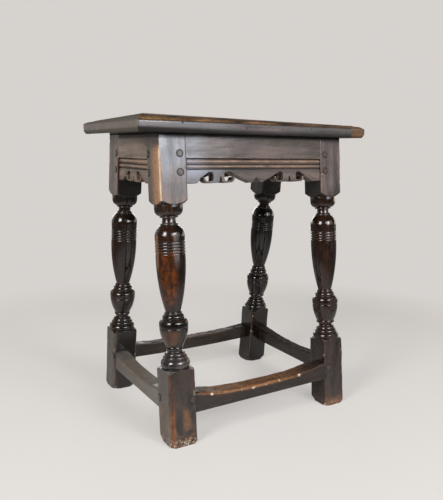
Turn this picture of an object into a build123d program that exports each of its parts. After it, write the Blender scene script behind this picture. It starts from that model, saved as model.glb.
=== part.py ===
from build123d import *
import os
from math import atan, cos, degrees, sin, sqrt

# Joined oak stool: a moulded seat board pegged to a frame of four splayed, turned legs,
# four scroll-cut friezes and four stretchers, all mortised, tenoned and pegged.
# Millimetres. +X is to the right, -Y is the front, +Z is up, and the origin is on the floor
# under the middle of the seat. The legs lean in only from front to back.

os.makedirs("parts", exist_ok=True)

# ---------------------------------------------------------------- driving dimensions
frame_height = 525.5              # floor to the underside of the seat board
leg_spacing_length = 337.0        # leg centre lines, left to right
leg_spacing_floor = 279.7         # leg centre lines, front to back, on the floor
leg_spacing_seat = 174.2          # the same, under the seat

# The seat board has shrunk and worn to a different thickness at each corner.
seat_overhang_ends = 44.5         # past the legs, left and right
seat_overhang_sides = 22.8        # past the legs under the seat, front and back
seat_thickness_front_left = 29.4
seat_thickness_front_right = 23.1
seat_thickness_back_left = 24.4
seat_thickness_back_right = 22.6
seat_corner_radius = 8.0
seat_border = 17.0                # width of the moulded border round the flat top
seat_border_step = 2.0
seat_nose_height = 17.5           # of the fullest line of the nose above the underside
seat_nose_rise = 2.1              # swell of the border's curve above its chord
seat_right_nose_height = 8.5      # the right end is rounded over further
seat_right_nose_rise = 4.6
seat_lower_round_left = 6.0       # round of the lower arris
seat_lower_round_right = 1.6
seat_worn_round_at = -20.0        # the lower round has faded out by this X

leg_section = 50.0                # upper squares
leg_arris = 1.5
foot_arris = 4.0
foot_sole_lift = 12.0             # worn corners of the sole start this high
foot_sole_inset = 9.0

frieze_depth = 85.0
frieze_thickness = 22.0
stretcher_setback = 1.0           # behind the outer face of the slimmest foot
stretcher_top = 86.5
stretcher_end_wear = 1.5          # wear of the outer top arris where it meets the leg
stretcher_arris = 2.4

# Feet have worn each stretcher's top hollow, steeply at both ends and flatter between.
front_stretcher_bottom_left = 50.2
front_stretcher_bottom_right = 53.0
front_stretcher_thickness = 28.0
front_stretcher_wear_left = 10.3
front_stretcher_run_left = 44.0
front_stretcher_wear_right = 12.3
front_stretcher_run_right = 73.0
front_stretcher_sag = 2.5         # further drop from the ends of the runs to the middle
front_stretcher_tilt = 5.0        # the worn top is this much higher at its inner edge

back_stretcher_bottom = 56.5
back_stretcher_belly = 3.0        # the lower edge bows down this far in the middle
back_stretcher_thickness = 23.0
back_stretcher_wear = 5.5
back_stretcher_run = 42.0
back_stretcher_sag = 2.0
back_stretcher_tilt = 1.0

left_stretcher_bottom_front = 52.0
left_stretcher_bottom_back = 48.8
left_stretcher_thickness = 25.0
left_stretcher_wear = 9.0
left_stretcher_run = 36.0
left_stretcher_sag = 3.0
left_stretcher_tilt = 5.0

right_stretcher_bottom = 53.0
right_stretcher_thickness = 23.0
right_stretcher_wear = 6.0
right_stretcher_run = 37.0
right_stretcher_sag = 4.2
right_stretcher_tilt = 1.0

tenon_thickness = 9.0
tenon_clearance = 0.1
tenon_mitre_gap = 0.4
frieze_haunch = 16.0              # frieze tenon starts this far below the seat
frieze_tenon_shoulder = 10.0      # and stops this far above the lower edge
stretcher_tenon_setback = 12.0
stretcher_tenon_shoulder = 3.0    # below the tenon
stretcher_tenon_top = 3.5         # and above it
tenon_root = 4.0                  # where the tenon is carried into its rail

peg_diameter = 9.5
peg_clearance = 0.1
peg_length = 29.0
peg_proud = 0.6
long_peg_from_shoulder = 12.0
short_peg_from_shoulder_front = 6.5
short_peg_from_shoulder_back = 12.0
stretcher_peg_from_shoulder = 8.5
frieze_peg_high = 35.5            # below the seat
frieze_peg_low = 19.0             # above the lower edge
stretcher_peg_drop = 8.0          # below the top of the tenon
seat_peg_spacing = 210.0
seat_peg_depth = 31.0             # into the top of the frieze

# Turning, from the top square down. Heights run along the leg.
top_square = 115.0
pommel = 8.6                      # cone that takes the corners off the top square
cup_relief = 0.9                  # the cup is this much smaller in radius than the square
cup_wall = 10.8
cup_round = 11.0
cup_swell = 2.3
cup_fillet = 2.2
cup_fillet_radius = 15.4
neck_radius = 10.9
neck_height = 4.4
neck_bead = 5.6
neck_bead_swell = 1.2
collar_radius = 15.2
collar_height = 3.0
baluster_shoulder = 21.0
baluster_shoulder_swell = 2.9
reed_band_from_shoulder = 11.0
reed_pitch = 5.0
baluster_band_tail = 8.0
taper_swell = 3.0

# Turning, from the floor up.
foot_square = 130.5
foot_shoulder = 12.0
foot_shoulder_swell = 2.6
quirk_depth = 1.0
quirk_width = 1.0
ball_radius = 24.0
ball_height = 12.0
ball_swell = 1.6
second_bead_radius = 21.4
second_bead_height = 6.0
second_bead_swell = 1.0
first_bead_radius = 18.0
first_bead_height = 7.4
first_bead_swell = 1.4
ankle_radius = 12.6
ankle_height = 6.0
urn_foot_height = 4.9
urn_body = 32.6
urn_body_swell = 1.9
urn_rim = 6.4
urn_shoulder = 8.4
urn_shoulder_radius = 19.2
urn_shoulder_swell = 1.6
torus_height = 8.0
torus_swell = 1.5
waist_bead_radius = 15.6
waist_bead_height = 5.0
waist_radius = 13.1

# Scroll-cut lower edge of the friezes. Heights are above the lower edge.
scroll_pair_offset = 74.0         # middle of each pair of scrolls from the frieze's middle
scroll_shift = -2.5               # the front frieze was set out this far off its middle
notch_height = 9.5
notch_half_width = 3.6
scroll_lift = 0.5
scroll_corner = 5.0
eye_wall = 14.5                   # from the notch to the upright side of the eye
eye_width = 10.5
eye_height = 19.0
hook_thickness = 3.6
hook_radius = 8.0
diagonal_run = 29.5               # from the top of the eye down to the bracket
centre_point_offset = 13.0
centre_notch_half_width = 8.5

# Run moulding on the friezes: two reeds between quirks, above a sunk field.
field_sink = 2.8
field_height = 22.2
frieze_quirk = 2.0
frieze_quirk_sink = 4.0
lower_reed = 6.2
upper_reed = 7.6
reed_swell = 1.7

# The legs were sawn and turned by hand, so each one differs a little.
foot_section_front_left = 50.6
foot_section_front_right = 47.0
foot_section_back_left = 49.4
foot_section_back_right = 47.2
urn_foot_radius_front_left = 14.6
urn_foot_radius_front_right = 17.2
urn_foot_radius_back_left = 15.2
urn_foot_radius_back_right = 17.2
square_drop_front_left = 3.5      # the top square runs this much further down
square_drop_front_right = 0.0
square_drop_back_left = 2.0
square_drop_back_right = 7.5
waist_lift_front_left = -1.6      # the waist sits this much higher
waist_lift_front_right = 0.0
waist_lift_back_left = 0.0
waist_lift_back_right = 6.5
reeds_left_legs = 4
reeds_right_legs = 3

# ---------------------------------------------------------------- values that follow
half_length = leg_spacing_length / 2
floor_half = leg_spacing_floor / 2
seat_half = leg_spacing_seat / 2
splay = atan((floor_half - seat_half) / frame_height)
leg_length = frame_height / cos(splay)
half_leg = leg_section / 2
seat_length = leg_spacing_length + leg_section + 2 * seat_overhang_ends
seat_width = leg_spacing_seat + leg_section / cos(splay) + 2 * seat_overhang_sides
half_foot = {                     # keyed by (side, end), each -1 or 1
    (-1, -1): foot_section_front_left / 2,
    (-1, 1): foot_section_front_right / 2,
    (1, -1): foot_section_back_left / 2,
    (1, 1): foot_section_back_right / 2,
}
urn_foot_radius = {
    (-1, -1): urn_foot_radius_front_left,
    (-1, 1): urn_foot_radius_front_right,
    (1, -1): urn_foot_radius_back_left,
    (1, 1): urn_foot_radius_back_right,
}
square_end_drop = {
    (-1, -1): square_drop_front_left,
    (-1, 1): square_drop_front_right,
    (1, -1): square_drop_back_left,
    (1, 1): square_drop_back_right,
}
waist_lift = {
    (-1, -1): waist_lift_front_left,
    (-1, 1): waist_lift_front_right,
    (1, -1): waist_lift_back_left,
    (1, 1): waist_lift_back_right,
}
reed_count = {-1: reeds_left_legs, 1: reeds_right_legs}
frieze_bottom = leg_length - frieze_depth
reach = frame_height + seat_length    # longer than any piece, for cutters
quarter_bulge = 1 - sqrt(0.5)     # bulge of a quarter round, per unit of radius
soft_bulge = 0.24                 # bulge of a worn arris, flatter than a quarter round
sides = {"front": -1, "back": 1}
ends = {"left": -1, "right": 1}
stretchers = {
    "front": {
        "bottom": (front_stretcher_bottom_left, front_stretcher_bottom_right),
        "belly": 0.0,
        "thickness": front_stretcher_thickness,
        "wear": (front_stretcher_wear_left, front_stretcher_wear_right),
        "run": (front_stretcher_run_left, front_stretcher_run_right),
        "sag": front_stretcher_sag,
        "tilt": front_stretcher_tilt,
    },
    "back": {
        "bottom": (back_stretcher_bottom, back_stretcher_bottom),
        "belly": back_stretcher_belly,
        "thickness": back_stretcher_thickness,
        "wear": (back_stretcher_wear, back_stretcher_wear),
        "run": (back_stretcher_run, back_stretcher_run),
        "sag": back_stretcher_sag,
        "tilt": back_stretcher_tilt,
    },
    "left": {
        "bottom": (left_stretcher_bottom_front, left_stretcher_bottom_back),
        "belly": 0.0,
        "thickness": left_stretcher_thickness,
        "wear": (left_stretcher_wear, left_stretcher_wear),
        "run": (left_stretcher_run, left_stretcher_run),
        "sag": left_stretcher_sag,
        "tilt": left_stretcher_tilt,
    },
    "right": {
        "bottom": (right_stretcher_bottom, right_stretcher_bottom),
        "belly": 0.0,
        "thickness": right_stretcher_thickness,
        "wear": (right_stretcher_wear, right_stretcher_wear),
        "run": (right_stretcher_run, right_stretcher_run),
        "sag": right_stretcher_sag,
        "tilt": right_stretcher_tilt,
    },
}


def side_frame(side):
    """Leaning plane of the front (-1) or back (1) legs: x along the stool, z up the legs."""
    lean = (0, -side * sin(splay), cos(splay))
    return Plane(origin=(0, side * floor_half, 0), x_dir=(1, 0, 0), z_dir=lean)


def leg_line(z, outward=0.0):
    """Distance from the middle plane to a leg's centre line at height z, shifted outward."""
    return floor_half + (seat_half - floor_half) * z / frame_height + outward / cos(splay)


def outline(points):
    """Closed face through (x, y, bulge) points. The bulge swells the edge that arrives
    at a point, to the right of its direction; 0 is straight."""
    edges = []
    for (x0, y0, _), (x1, y1, bulge) in zip(points, points[1:] + points[:1]):
        run = sqrt((x1 - x0) ** 2 + (y1 - y0) ** 2)
        if bulge:
            middle = ((x0 + x1) / 2 + bulge * (y1 - y0) / run, (y0 + y1) / 2 - bulge * (x1 - x0) / run)
            edges.append(ThreePointArc((x0, y0), middle, (x1, y1)))
        else:
            edges.append(Line((x0, y0), (x1, y1)))
    return make_face(Curve() + edges)


def slab(low, high):
    """Everything between two heights above the floor."""
    blank = Box(4 * reach, 4 * reach, high - low, align=(Align.CENTER, Align.CENTER, Align.MIN))
    return Pos(0, 0, low) * blank


def prism(plan, low, high):
    """A plan face raised between two heights."""
    return Pos(0, 0, low) * extrude(plan, amount=high - low, dir=(0, 0, 1))


def across(face, y0, y1):
    """A face drawn in (x, z), given thickness from y0 to y1."""
    low, high = sorted((y0, y1))
    return Pos(0, low, 0) * extrude(Plane.XZ * face, amount=high - low, dir=(0, 1, 0))


def along(face, x0, x1):
    """A face drawn in (y, z), given length from x0 to x1."""
    low, high = sorted((x0, x1))
    return Pos(low, 0, 0) * extrude(Plane.YZ * face, amount=high - low, dir=(1, 0, 0))


def save(name, shape):
    export_step(shape, f"parts/{name}.step")


# ---------------------------------------------------------------- tenons and pegs
def joint_plan(end, side, inner, outer, root, rail_is_long, grow, mitred=True):
    """Plan of one tenon, or of its mortise, in a leg's own square. Cheeks lie inner and
    outer from the leg's centre line; the tenon runs from root to a mitre with its neighbour."""
    low = inner - grow
    high = outer + grow
    tip_low = low - tenon_mitre_gap if mitred else high
    tip_high = high - tenon_mitre_gap if mitred else high
    corners = [(root, low), (tip_low, low), (tip_high, high), (root, high)]
    if not rail_is_long:
        corners = [(across_leg, along_leg) for along_leg, across_leg in corners]
    return outline([(end * (half_length + u), side * v, 0) for u, v in corners])


frieze_cheeks = (half_leg - frieze_thickness, half_leg - frieze_thickness + tenon_thickness)
stretcher_face = min(half_foot.values()) - stretcher_setback
stretcher_outer_cheek = stretcher_face - stretcher_tenon_setback
stretcher_cheeks = (stretcher_outer_cheek - tenon_thickness, stretcher_outer_cheek)


def stretcher_tenon_bottom(side, end, rail_is_long):
    """Foot of a stretcher's tenon, above the lower of its rail's two ends at this leg."""
    names = sides if rail_is_long else ends
    name = [key for key, sign in names.items() if sign == (side if rail_is_long else end)][0]
    return max(stretchers[name]["bottom"]) + stretcher_tenon_shoulder


def tenon(end, side, rail, rail_is_long, grow=0.0):
    """The tenon of a frieze or stretcher in one leg; with grow, the mortise it sits in.
    Long rails are cut in the leaning frame, short rails level with the floor."""
    if rail == "frieze":
        (inner, outer), face = frieze_cheeks, half_leg
        low = frieze_depth - frieze_tenon_shoulder
        low_long, high_long = leg_length - low, leg_length - frieze_haunch
        low_short, high_short = frame_height - low, frame_height - frieze_haunch
    else:
        (inner, outer), face = stretcher_cheeks, half_foot[(side, end)]
        low_long = low_short = stretcher_tenon_bottom(side, end, rail_is_long)
        high_long = high_short = stretcher_top - stretcher_tenon_top
    root = -face - (1 if grow else tenon_root)
    plan = joint_plan(end, side, inner, outer, root, rail_is_long, grow, mitred=not grow)
    if rail_is_long:
        return side_frame(side) * prism(plan, low_long - grow, high_long + grow)
    return (side_frame(side) * prism(plan, -reach, 2 * reach)) & slab(low_short - grow, high_short + grow)


def peg(end, side, rail, height, rail_is_long, grow=0.0):
    """A peg driven from the outer face of a leg through a tenon; with grow, its hole."""
    if rail == "stretcher":
        face, from_shoulder = half_foot[(side, end)], stretcher_peg_from_shoulder
    elif rail_is_long:
        face, from_shoulder = half_leg, long_peg_from_shoulder
    else:
        face = half_leg
        from_shoulder = short_peg_from_shoulder_front if side < 0 else short_peg_from_shoulder_back
    start = face + (reach if grow else peg_proud)
    stop = face - peg_length - grow
    body = Cylinder(peg_diameter / 2 + grow, start - stop, align=(Align.CENTER, Align.CENTER, Align.MIN))
    inset = -face + from_shoulder
    if rail_is_long:
        place = Pos(end * (half_length + inset), side * stop, height) * Rot(-90 * side, 0, 0)
        return side_frame(side) * (place * body)
    y = side * leg_line(height, inset)
    return Pos(end * (half_length + stop), y, height) * Rot(0, 90 * end, 0) * body


def frieze_peg_heights(rail_is_long):
    top = leg_length if rail_is_long else frame_height
    return (top - frieze_peg_high, top - frieze_depth + frieze_peg_low)


stretcher_peg_height = stretcher_top - stretcher_tenon_top - stretcher_peg_drop


# ---------------------------------------------------------------- legs
def turned_outline(which):
    """Half section of one leg, from the sole up: radius and height of each member in turn."""
    lift = waist_lift[which]
    corner = half_foot[which] * sqrt(2)
    points = [(0, -reach / 4, 0), (corner, -reach / 4, 0), (corner, foot_square - foot_shoulder, 0)]
    height = foot_square
    points.append((ball_radius, height, foot_shoulder_swell))

    def member(rise, radius, swell=0.0):
        nonlocal height
        height += rise
        points.append((radius, height, swell))

    member(ball_height, second_bead_radius, ball_swell)
    member(second_bead_height, first_bead_radius, second_bead_swell)
    member(first_bead_height, ankle_radius, first_bead_swell)
    member(ankle_height, ankle_radius)
    member(0, urn_foot_radius[which])
    member(urn_foot_height, urn_foot_radius[which])
    member(urn_body, half_leg, urn_body_swell)
    member(quirk_width / 2, half_leg - quirk_depth)
    member(quirk_width / 2, half_leg)
    member(urn_rim, half_leg)
    member(urn_shoulder, urn_shoulder_radius, urn_shoulder_swell)
    member(torus_height + lift / 2, waist_bead_radius, torus_swell)
    member(waist_bead_height + lift / 2, waist_radius)

    square_end = leg_length - top_square - square_end_drop[which]
    neck_top = square_end - cup_wall - cup_round - cup_fillet + square_end_drop[which] / 2
    collar = neck_top - neck_height - neck_bead
    shoulder_top = collar - collar_height
    shoulder_foot = shoulder_top - baluster_shoulder
    band_top = shoulder_foot - reed_band_from_shoulder
    band_foot = band_top - reed_count[which[1]] * reed_pitch
    points.append((half_leg, band_foot - baluster_band_tail, taper_swell))
    for groove in range(reed_count[which[1]] + 1):
        middle = band_foot + groove * reed_pitch
        points.append((half_leg, middle - quirk_width, 0))
        points.append((half_leg - quirk_depth, middle, 0))
        points.append((half_leg, middle + quirk_width, 0))
    points.append((half_leg, shoulder_foot, 0))
    points.append((collar_radius, shoulder_top, baluster_shoulder_swell))
    points.append((collar_radius - quirk_depth, collar, 0))
    points.append((neck_radius, neck_top - neck_height, neck_bead_swell))
    points.append((neck_radius, neck_top, 0))
    points.append((cup_fillet_radius, neck_top, 0))
    points.append((cup_fillet_radius, neck_top + cup_fillet, 0))
    points.append((half_leg - cup_relief, neck_top + cup_fillet + cup_round, cup_swell))
    points.append((half_leg - cup_relief, square_end, 0))
    points.append((half_leg - quirk_depth / 8, square_end, 0))
    points.append((half_leg * sqrt(2) + quirk_depth / 8, square_end + pommel, 0))
    points.append((half_leg * sqrt(2) + quirk_depth / 8, leg_length + reach / 4, 0))
    points.append((0, leg_length + reach / 4, 0))
    return outline(points)


def sole(end, side):
    """Vertical envelope that wears the corners of a foot's sole."""
    corner = half_foot[(side, end)] * sqrt(2) + quirk_depth
    rim = [(0, 0, 0), (corner - foot_sole_inset, 0, 0), (corner, foot_sole_lift, foot_sole_inset / 5)]
    rim += [(2 * corner, foot_sole_lift, 0), (2 * corner, 2 * reach, 0), (0, 2 * reach, 0)]
    return Pos(end * half_length, side * floor_half, 0) * revolve(Plane.XZ * outline(rim), Axis.Z)


def leg(side, end):
    which = (side, end)
    foot_plan = RectangleRounded(2 * half_foot[which], 2 * half_foot[which], foot_arris)
    foot_blank = prism(foot_plan, -reach / 8, foot_square)
    square_end = leg_length - top_square - square_end_drop[which]
    top_plan = RectangleRounded(leg_section, leg_section, leg_arris)
    top_blank = prism(top_plan, square_end, leg_length + reach / 8)
    turned_blank = Pos(0, 0, foot_square) * Cylinder(
        leg_section, square_end - foot_square, align=(Align.CENTER, Align.CENTER, Align.MIN)
    )
    envelope = revolve(Plane.XZ * turned_outline(which), Axis.Z)
    turned = (foot_blank + turned_blank + top_blank) & envelope
    body = side_frame(side) * Pos(end * half_length, 0, 0) * turned
    body = body & slab(0, frame_height) & sole(end, side)
    for rail in ("frieze", "stretcher"):
        for rail_is_long in (True, False):
            body -= tenon(end, side, rail, rail_is_long, tenon_clearance)
    for rail_is_long in (True, False):
        for height in frieze_peg_heights(rail_is_long):
            body -= peg(end, side, "frieze", height, rail_is_long, peg_clearance)
        body -= peg(end, side, "stretcher", stretcher_peg_height, rail_is_long, peg_clearance)
    return body


# ---------------------------------------------------------------- friezes
def scroll_cut(direction, run):
    """Half of a scroll pair's saw cut, from its notch out along direction: the notch, the
    rounded lobe, the hooked tip round an open eye, and the long diagonal of length run."""
    hook_centre = eye_wall + eye_width
    hook_inner = hook_radius - hook_thickness
    eye_floor = scroll_lift + hook_thickness
    eye_round = eye_width / 2
    points = [
        (0, -frieze_depth / 8, 0),
        (0, notch_height, 0),
        (notch_half_width, scroll_lift + scroll_corner / 2, 0),
        (notch_half_width + scroll_corner, scroll_lift, scroll_corner / 6),
        (hook_centre, scroll_lift, 0),
        (hook_centre + hook_radius, scroll_lift + hook_radius, hook_radius * quarter_bulge),
        (hook_centre + hook_inner, scroll_lift + hook_radius, 0),
        (hook_centre, eye_floor, -hook_inner * quarter_bulge),
        (eye_wall + hook_inner, eye_floor, 0),
        (eye_wall, eye_floor + hook_inner, -hook_inner * quarter_bulge),
        (eye_wall, eye_height - eye_round, 0),
        (eye_wall + eye_round, eye_height, -eye_round * quarter_bulge),
        (eye_wall + eye_round * 1.8, eye_height - 0.4, 0),
        (eye_wall + eye_round * 1.8 + run, 0, 0),
        (eye_wall + eye_round * 1.8 + run, -frieze_depth / 8, 0),
    ]
    if direction > 0:
        return outline(points)
    return outline([(-x, y, -bulge) for x, y, bulge in points])


def scroll_edge(is_long, shift=0.0):
    """Everything sawn away below a frieze: two scroll pairs either side of a cleft point
    on a long frieze, and one pair on a short one."""
    if not is_long:
        return scroll_cut(1, diagonal_run) + scroll_cut(-1, diagonal_run)
    inner_run = scroll_pair_offset - centre_point_offset - eye_wall - eye_width * 0.9
    cleft = outline([(-centre_notch_half_width, 0, 0), (0, notch_height, 0), (centre_notch_half_width, 0, 0)])
    edge = Pos(shift, 0) * cleft
    for hand in (-1, 1):
        pair = scroll_cut(hand, diagonal_run) + scroll_cut(-hand, inner_run)
        edge += Pos(shift + hand * scroll_pair_offset, 0) * pair
    return edge


def moulding_section(face, sign):
    """Section of the run moulding and sunk field, cut in from a face at sign * face."""
    floor = field_sink + reed_swell / 2
    top = field_height + lower_reed + upper_reed + 3 * frieze_quirk
    section = [(-frieze_quirk, -frieze_depth / 8, 0), (field_sink, -frieze_depth / 8, 0)]
    section += [(field_sink, field_height, 0), (frieze_quirk_sink, field_height + frieze_quirk * 0.2, 0)]
    height = field_height + frieze_quirk
    section += [(frieze_quirk_sink, height, 0), (floor, height + frieze_quirk * 0.1, 0)]
    for reed in (lower_reed, upper_reed):
        section.append((floor, height + reed, -reed_swell))
        section.append((frieze_quirk_sink, height + reed + frieze_quirk * 0.1, 0))
        section.append((frieze_quirk_sink, height + reed + frieze_quirk * 0.7, 0))
        height += reed + frieze_quirk
        if reed is lower_reed:
            section.append((floor, height + frieze_quirk * 0.1, 0))
    section += [(0, top, 0), (-frieze_quirk, top, 0)]
    return outline([(sign * (face - depth), height, sign * -bulge) for depth, height, bulge in section])


def long_frieze(side):
    shoulder = half_length - half_leg
    body = across(Pos(0, frieze_bottom + frieze_depth) * Rectangle(2 * shoulder, 2 * frieze_depth),
                  side * (half_leg - frieze_thickness), side * half_leg)
    shift = scroll_shift if side < 0 else 0.0
    body -= across(Pos(0, frieze_bottom) * scroll_edge(True, shift), -leg_section, leg_section)
    body -= along(Pos(0, frieze_bottom) * moulding_section(half_leg, side), -shoulder, shoulder)
    body = (side_frame(side) * body) & slab(0, frame_height)
    for end in (-1, 1):
        body += tenon(end, side, "frieze", True)
        for height in frieze_peg_heights(True):
            body -= peg(end, side, "frieze", height, True, peg_clearance)
        body -= seat_peg(end, side, peg_clearance)
    return body


def short_frieze(end):
    low, high = frame_height - frieze_depth, frame_height
    inner = [(leg_line(z, -half_leg), z) for z in (low, high)]
    blank = [(-inner[0][0], low, 0), (inner[0][0], low, 0), (inner[1][0], high, 0), (-inner[1][0], high, 0)]
    face = half_length + half_leg
    body = along(outline(blank), end * (face - frieze_thickness), end * face)
    body -= along(Pos(0, low) * scroll_edge(False), end * half_length / 2, end * 2 * face)
    moulding = across(Pos(0, low) * moulding_section(face, end), -inner[0][0], inner[0][0])
    body -= moulding
    for side in (-1, 1):
        body += tenon(end, side, "frieze", False)
        for height in frieze_peg_heights(False):
            body -= peg(end, side, "frieze", height, False, peg_clearance)
    return body


# ---------------------------------------------------------------- stretchers
def worn_hollow(form, first, last):
    """Outline of the wood worn off a stretcher's top, seen from its face, between the
    shoulders at first and last: steep at both ends, and sagging between them."""
    arris = stretcher_top - stretcher_end_wear
    low_first = stretcher_top - form["wear"][0]
    low_last = stretcher_top - form["wear"][1]
    return outline([
        (first - frieze_depth, arris, 0),
        (first, arris, 0),
        (first + form["run"][0], low_first, 0),
        (last - form["run"][1], low_last, form["sag"]),
        (last, arris, 0),
        (last + frieze_depth, arris, 0),
        (last + frieze_depth, 2 * stretcher_top, 0),
        (first - frieze_depth, 2 * stretcher_top, 0),
    ])


def wear_stretcher(body, hollow, form, plane, outward):
    """Take the worn hollow off a stretcher, rising inward from its outer face, and round
    the outer arris that it leaves. The plane's normal is the stretcher's own thickness."""
    slope = form["tilt"] / form["thickness"]
    inward = plane.z_dir * -outward + Vector(0, 0, slope)
    start = plane.z_dir * (outward * stretcher_face) - inward * half_leg
    depth = (form["thickness"] + 2 * half_leg) * inward.length
    body -= extrude(Pos(*start) * (plane * hollow), amount=depth, dir=inward)
    return fillet(outer_top_edges(body, plane.z_dir, outward), stretcher_arris)


def outer_top_edges(body, thickness, outward):
    """The edges between a stretcher's outer face and its worn top."""
    face_line = outward * stretcher_face
    found = []
    for edge in body.edges():
        points = [edge.position_at(share) for share in (0, 0.5, 1)]
        on_face = all(abs(point.dot(thickness) - face_line) < 0.01 for point in points)
        level = points[2] - points[0]
        if on_face and abs(level.Z) < level.length / 2 and points[1].Z > stretcher_top * 0.7:
            found.append(edge)
    return found


def long_stretcher(name, side):
    form = stretchers[name]
    first, last = (end * (half_length - half_foot[(side, end)]) for end in (-1, 1))
    bar = outline([
        (first, form["bottom"][0], 0),
        (last, form["bottom"][1], form["belly"]),
        (last, stretcher_top, 0),
        (first, stretcher_top, 0),
    ])
    body = across(bar, side * (stretcher_face - form["thickness"]), side * stretcher_face)
    body = wear_stretcher(body, worn_hollow(form, first, last), form, Plane.XZ, -side)
    body = side_frame(side) * body
    for end in (-1, 1):
        body += tenon(end, side, "stretcher", True)
        body -= peg(end, side, "stretcher", stretcher_peg_height, True, peg_clearance)
    return body


def short_stretcher(name, end):
    form = stretchers[name]
    bottom = [side * leg_line(low, -half_foot[(side, end)]) for side, low in zip((-1, 1), form["bottom"])]
    top = [side * leg_line(stretcher_top, -half_foot[(side, end)]) for side in (-1, 1)]
    bar = outline([
        (bottom[0], form["bottom"][0], 0),
        (bottom[1], form["bottom"][1], form["belly"]),
        (top[1], stretcher_top, 0),
        (top[0], stretcher_top, 0),
    ])
    body = along(bar, end * (stretcher_face - form["thickness"]), end * stretcher_face)
    body = wear_stretcher(body, worn_hollow(form, top[0], top[1]), form, Plane.YZ, end)
    body = Pos(end * half_length, 0, 0) * body
    for side in (-1, 1):
        body += tenon(end, side, "stretcher", False)
        body -= peg(end, side, "stretcher", stretcher_peg_height, False, peg_clearance)
    return body


# ---------------------------------------------------------------- seat
def board_top(x, y):
    """Height of the board's top face, which is warped between its four corners."""
    share = 0.5 + x / seat_length
    front = seat_thickness_front_left + share * (seat_thickness_front_right - seat_thickness_front_left)
    back = seat_thickness_back_left + share * (seat_thickness_back_right - seat_thickness_back_left)
    return frame_height + front + (0.5 + y / seat_width) * (back - front)


def seat_peg(end, side, grow=0.0):
    """An upright peg through the seat into the top of a long frieze."""
    x = end * seat_peg_spacing / 2
    y = side * leg_line(frame_height, half_leg - frieze_thickness / 2)
    stop = frame_height - seat_peg_depth - grow
    length = board_top(x, y) - stop + (reach if grow else 0)
    body = Cylinder(peg_diameter / 2 + grow, length, align=(Align.CENTER, Align.CENTER, Align.MIN))
    return Pos(x, y, stop) * body


def edge_wastes(outer, side, top, nose, swell, lower):
    """The two faces of wood planed off an edge of the board, seen along it: above the nose
    in to the step, and round the lower arris."""
    far = outer + seat_border
    step = outer - seat_border
    above = [
        (far, nose, 0),
        (far, top + seat_border, 0),
        (step, top + seat_border, 0),
        (step, top - seat_border_step, 0),
        (outer, nose, -swell),
    ]
    below = [
        (outer - lower, frame_height - seat_border, 0),
        (far, frame_height - seat_border, 0),
        (far, frame_height + lower, 0),
        (outer, frame_height + lower, 0),
        (outer - lower, frame_height, -lower * soft_bulge),
    ]
    return [outline([(side * u, z, side * bulge) for u, z, bulge in face]) for face in (above, below)]


def moulded_edge(stations, section_plane, direction, outer, side, nose_height, swell):
    """Everything planed off one edge of the board. Each station is a place along the edge,
    with the height of the board's top and the lower round there."""
    nose = frame_height + nose_height
    faces = [edge_wastes(outer, side, top, nose, swell, lower) for _, top, lower in stations]
    wastes = []
    for part in (0, 1):
        placed = []
        for (place, _, _), face in zip(stations, faces):
            placed.append(Pos(*(direction * place)) * (section_plane * face[part]))
        wastes.append(loft(placed, ruled=True))
    return wastes


def seat_board():
    half_board, half_width = seat_length / 2, seat_width / 2
    past_end, past_side = half_board + seat_border, half_width + seat_border
    tops = []
    for x in (-past_end, past_end):
        line = [(y, board_top(x, y), 0) for y in (-past_side, past_side)]
        above = [(past_side, frame_height + reach, 0), (-past_side, frame_height + reach, 0)]
        tops.append(Pos(x, 0, 0) * (Plane.YZ * outline(line + above)))
    plan = RectangleRounded(seat_length, seat_width, seat_corner_radius)
    board = prism(plan, frame_height, frame_height + reach / 4)
    board -= loft(tops, ruled=True)
    for side in (-1, 1):
        step_line = side * (half_width - seat_border)
        stations = [
            (-past_end, board_top(-past_end, step_line), seat_lower_round_left),
            (seat_worn_round_at, board_top(seat_worn_round_at, step_line), seat_lower_round_right),
            (past_end, board_top(past_end, step_line), seat_lower_round_right),
        ]
        along_x = Vector(1, 0, 0)
        board -= moulded_edge(stations, Plane.YZ, along_x, half_width, side, seat_nose_height, seat_nose_rise)
    for end in (-1, 1):
        step_line = end * (half_board - seat_border)
        lower = seat_lower_round_left if end < 0 else seat_lower_round_right
        nose_height = seat_nose_height if end < 0 else seat_right_nose_height
        swell = seat_nose_rise if end < 0 else seat_right_nose_rise
        stations = [(y, board_top(step_line, y), lower) for y in (-past_side, past_side)]
        board -= moulded_edge(stations, Plane.XZ, Vector(0, 1, 0), half_board, end, nose_height, swell)
    for end in (-1, 1):
        for side in (-1, 1):
            board -= seat_peg(end, side, peg_clearance)
    return board


# ---------------------------------------------------------------- write the pieces
def group(pieces):
    return Compound(children=[piece if isinstance(piece, Solid) else piece.solid() for piece in pieces])


save("seat_top", seat_board())
save("seat_pegs", group([seat_peg(end, side) for end in (-1, 1) for side in (-1, 1)]))

for side_name, side in sides.items():
    for end_name, end in ends.items():
        save(f"leg_{side_name}_{end_name}", leg(side, end))
    save(f"frieze_{side_name}", long_frieze(side))
    save(f"stretcher_{side_name}", long_stretcher(side_name, side))
    frieze_pegs = [peg(end, side, "frieze", z, True) for end in (-1, 1) for z in frieze_peg_heights(True)]
    save(f"frieze_pegs_{side_name}", group(frieze_pegs))
    stretcher_pegs = [peg(end, side, "stretcher", stretcher_peg_height, True) for end in (-1, 1)]
    save(f"stretcher_pegs_{side_name}", group(stretcher_pegs))

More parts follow.
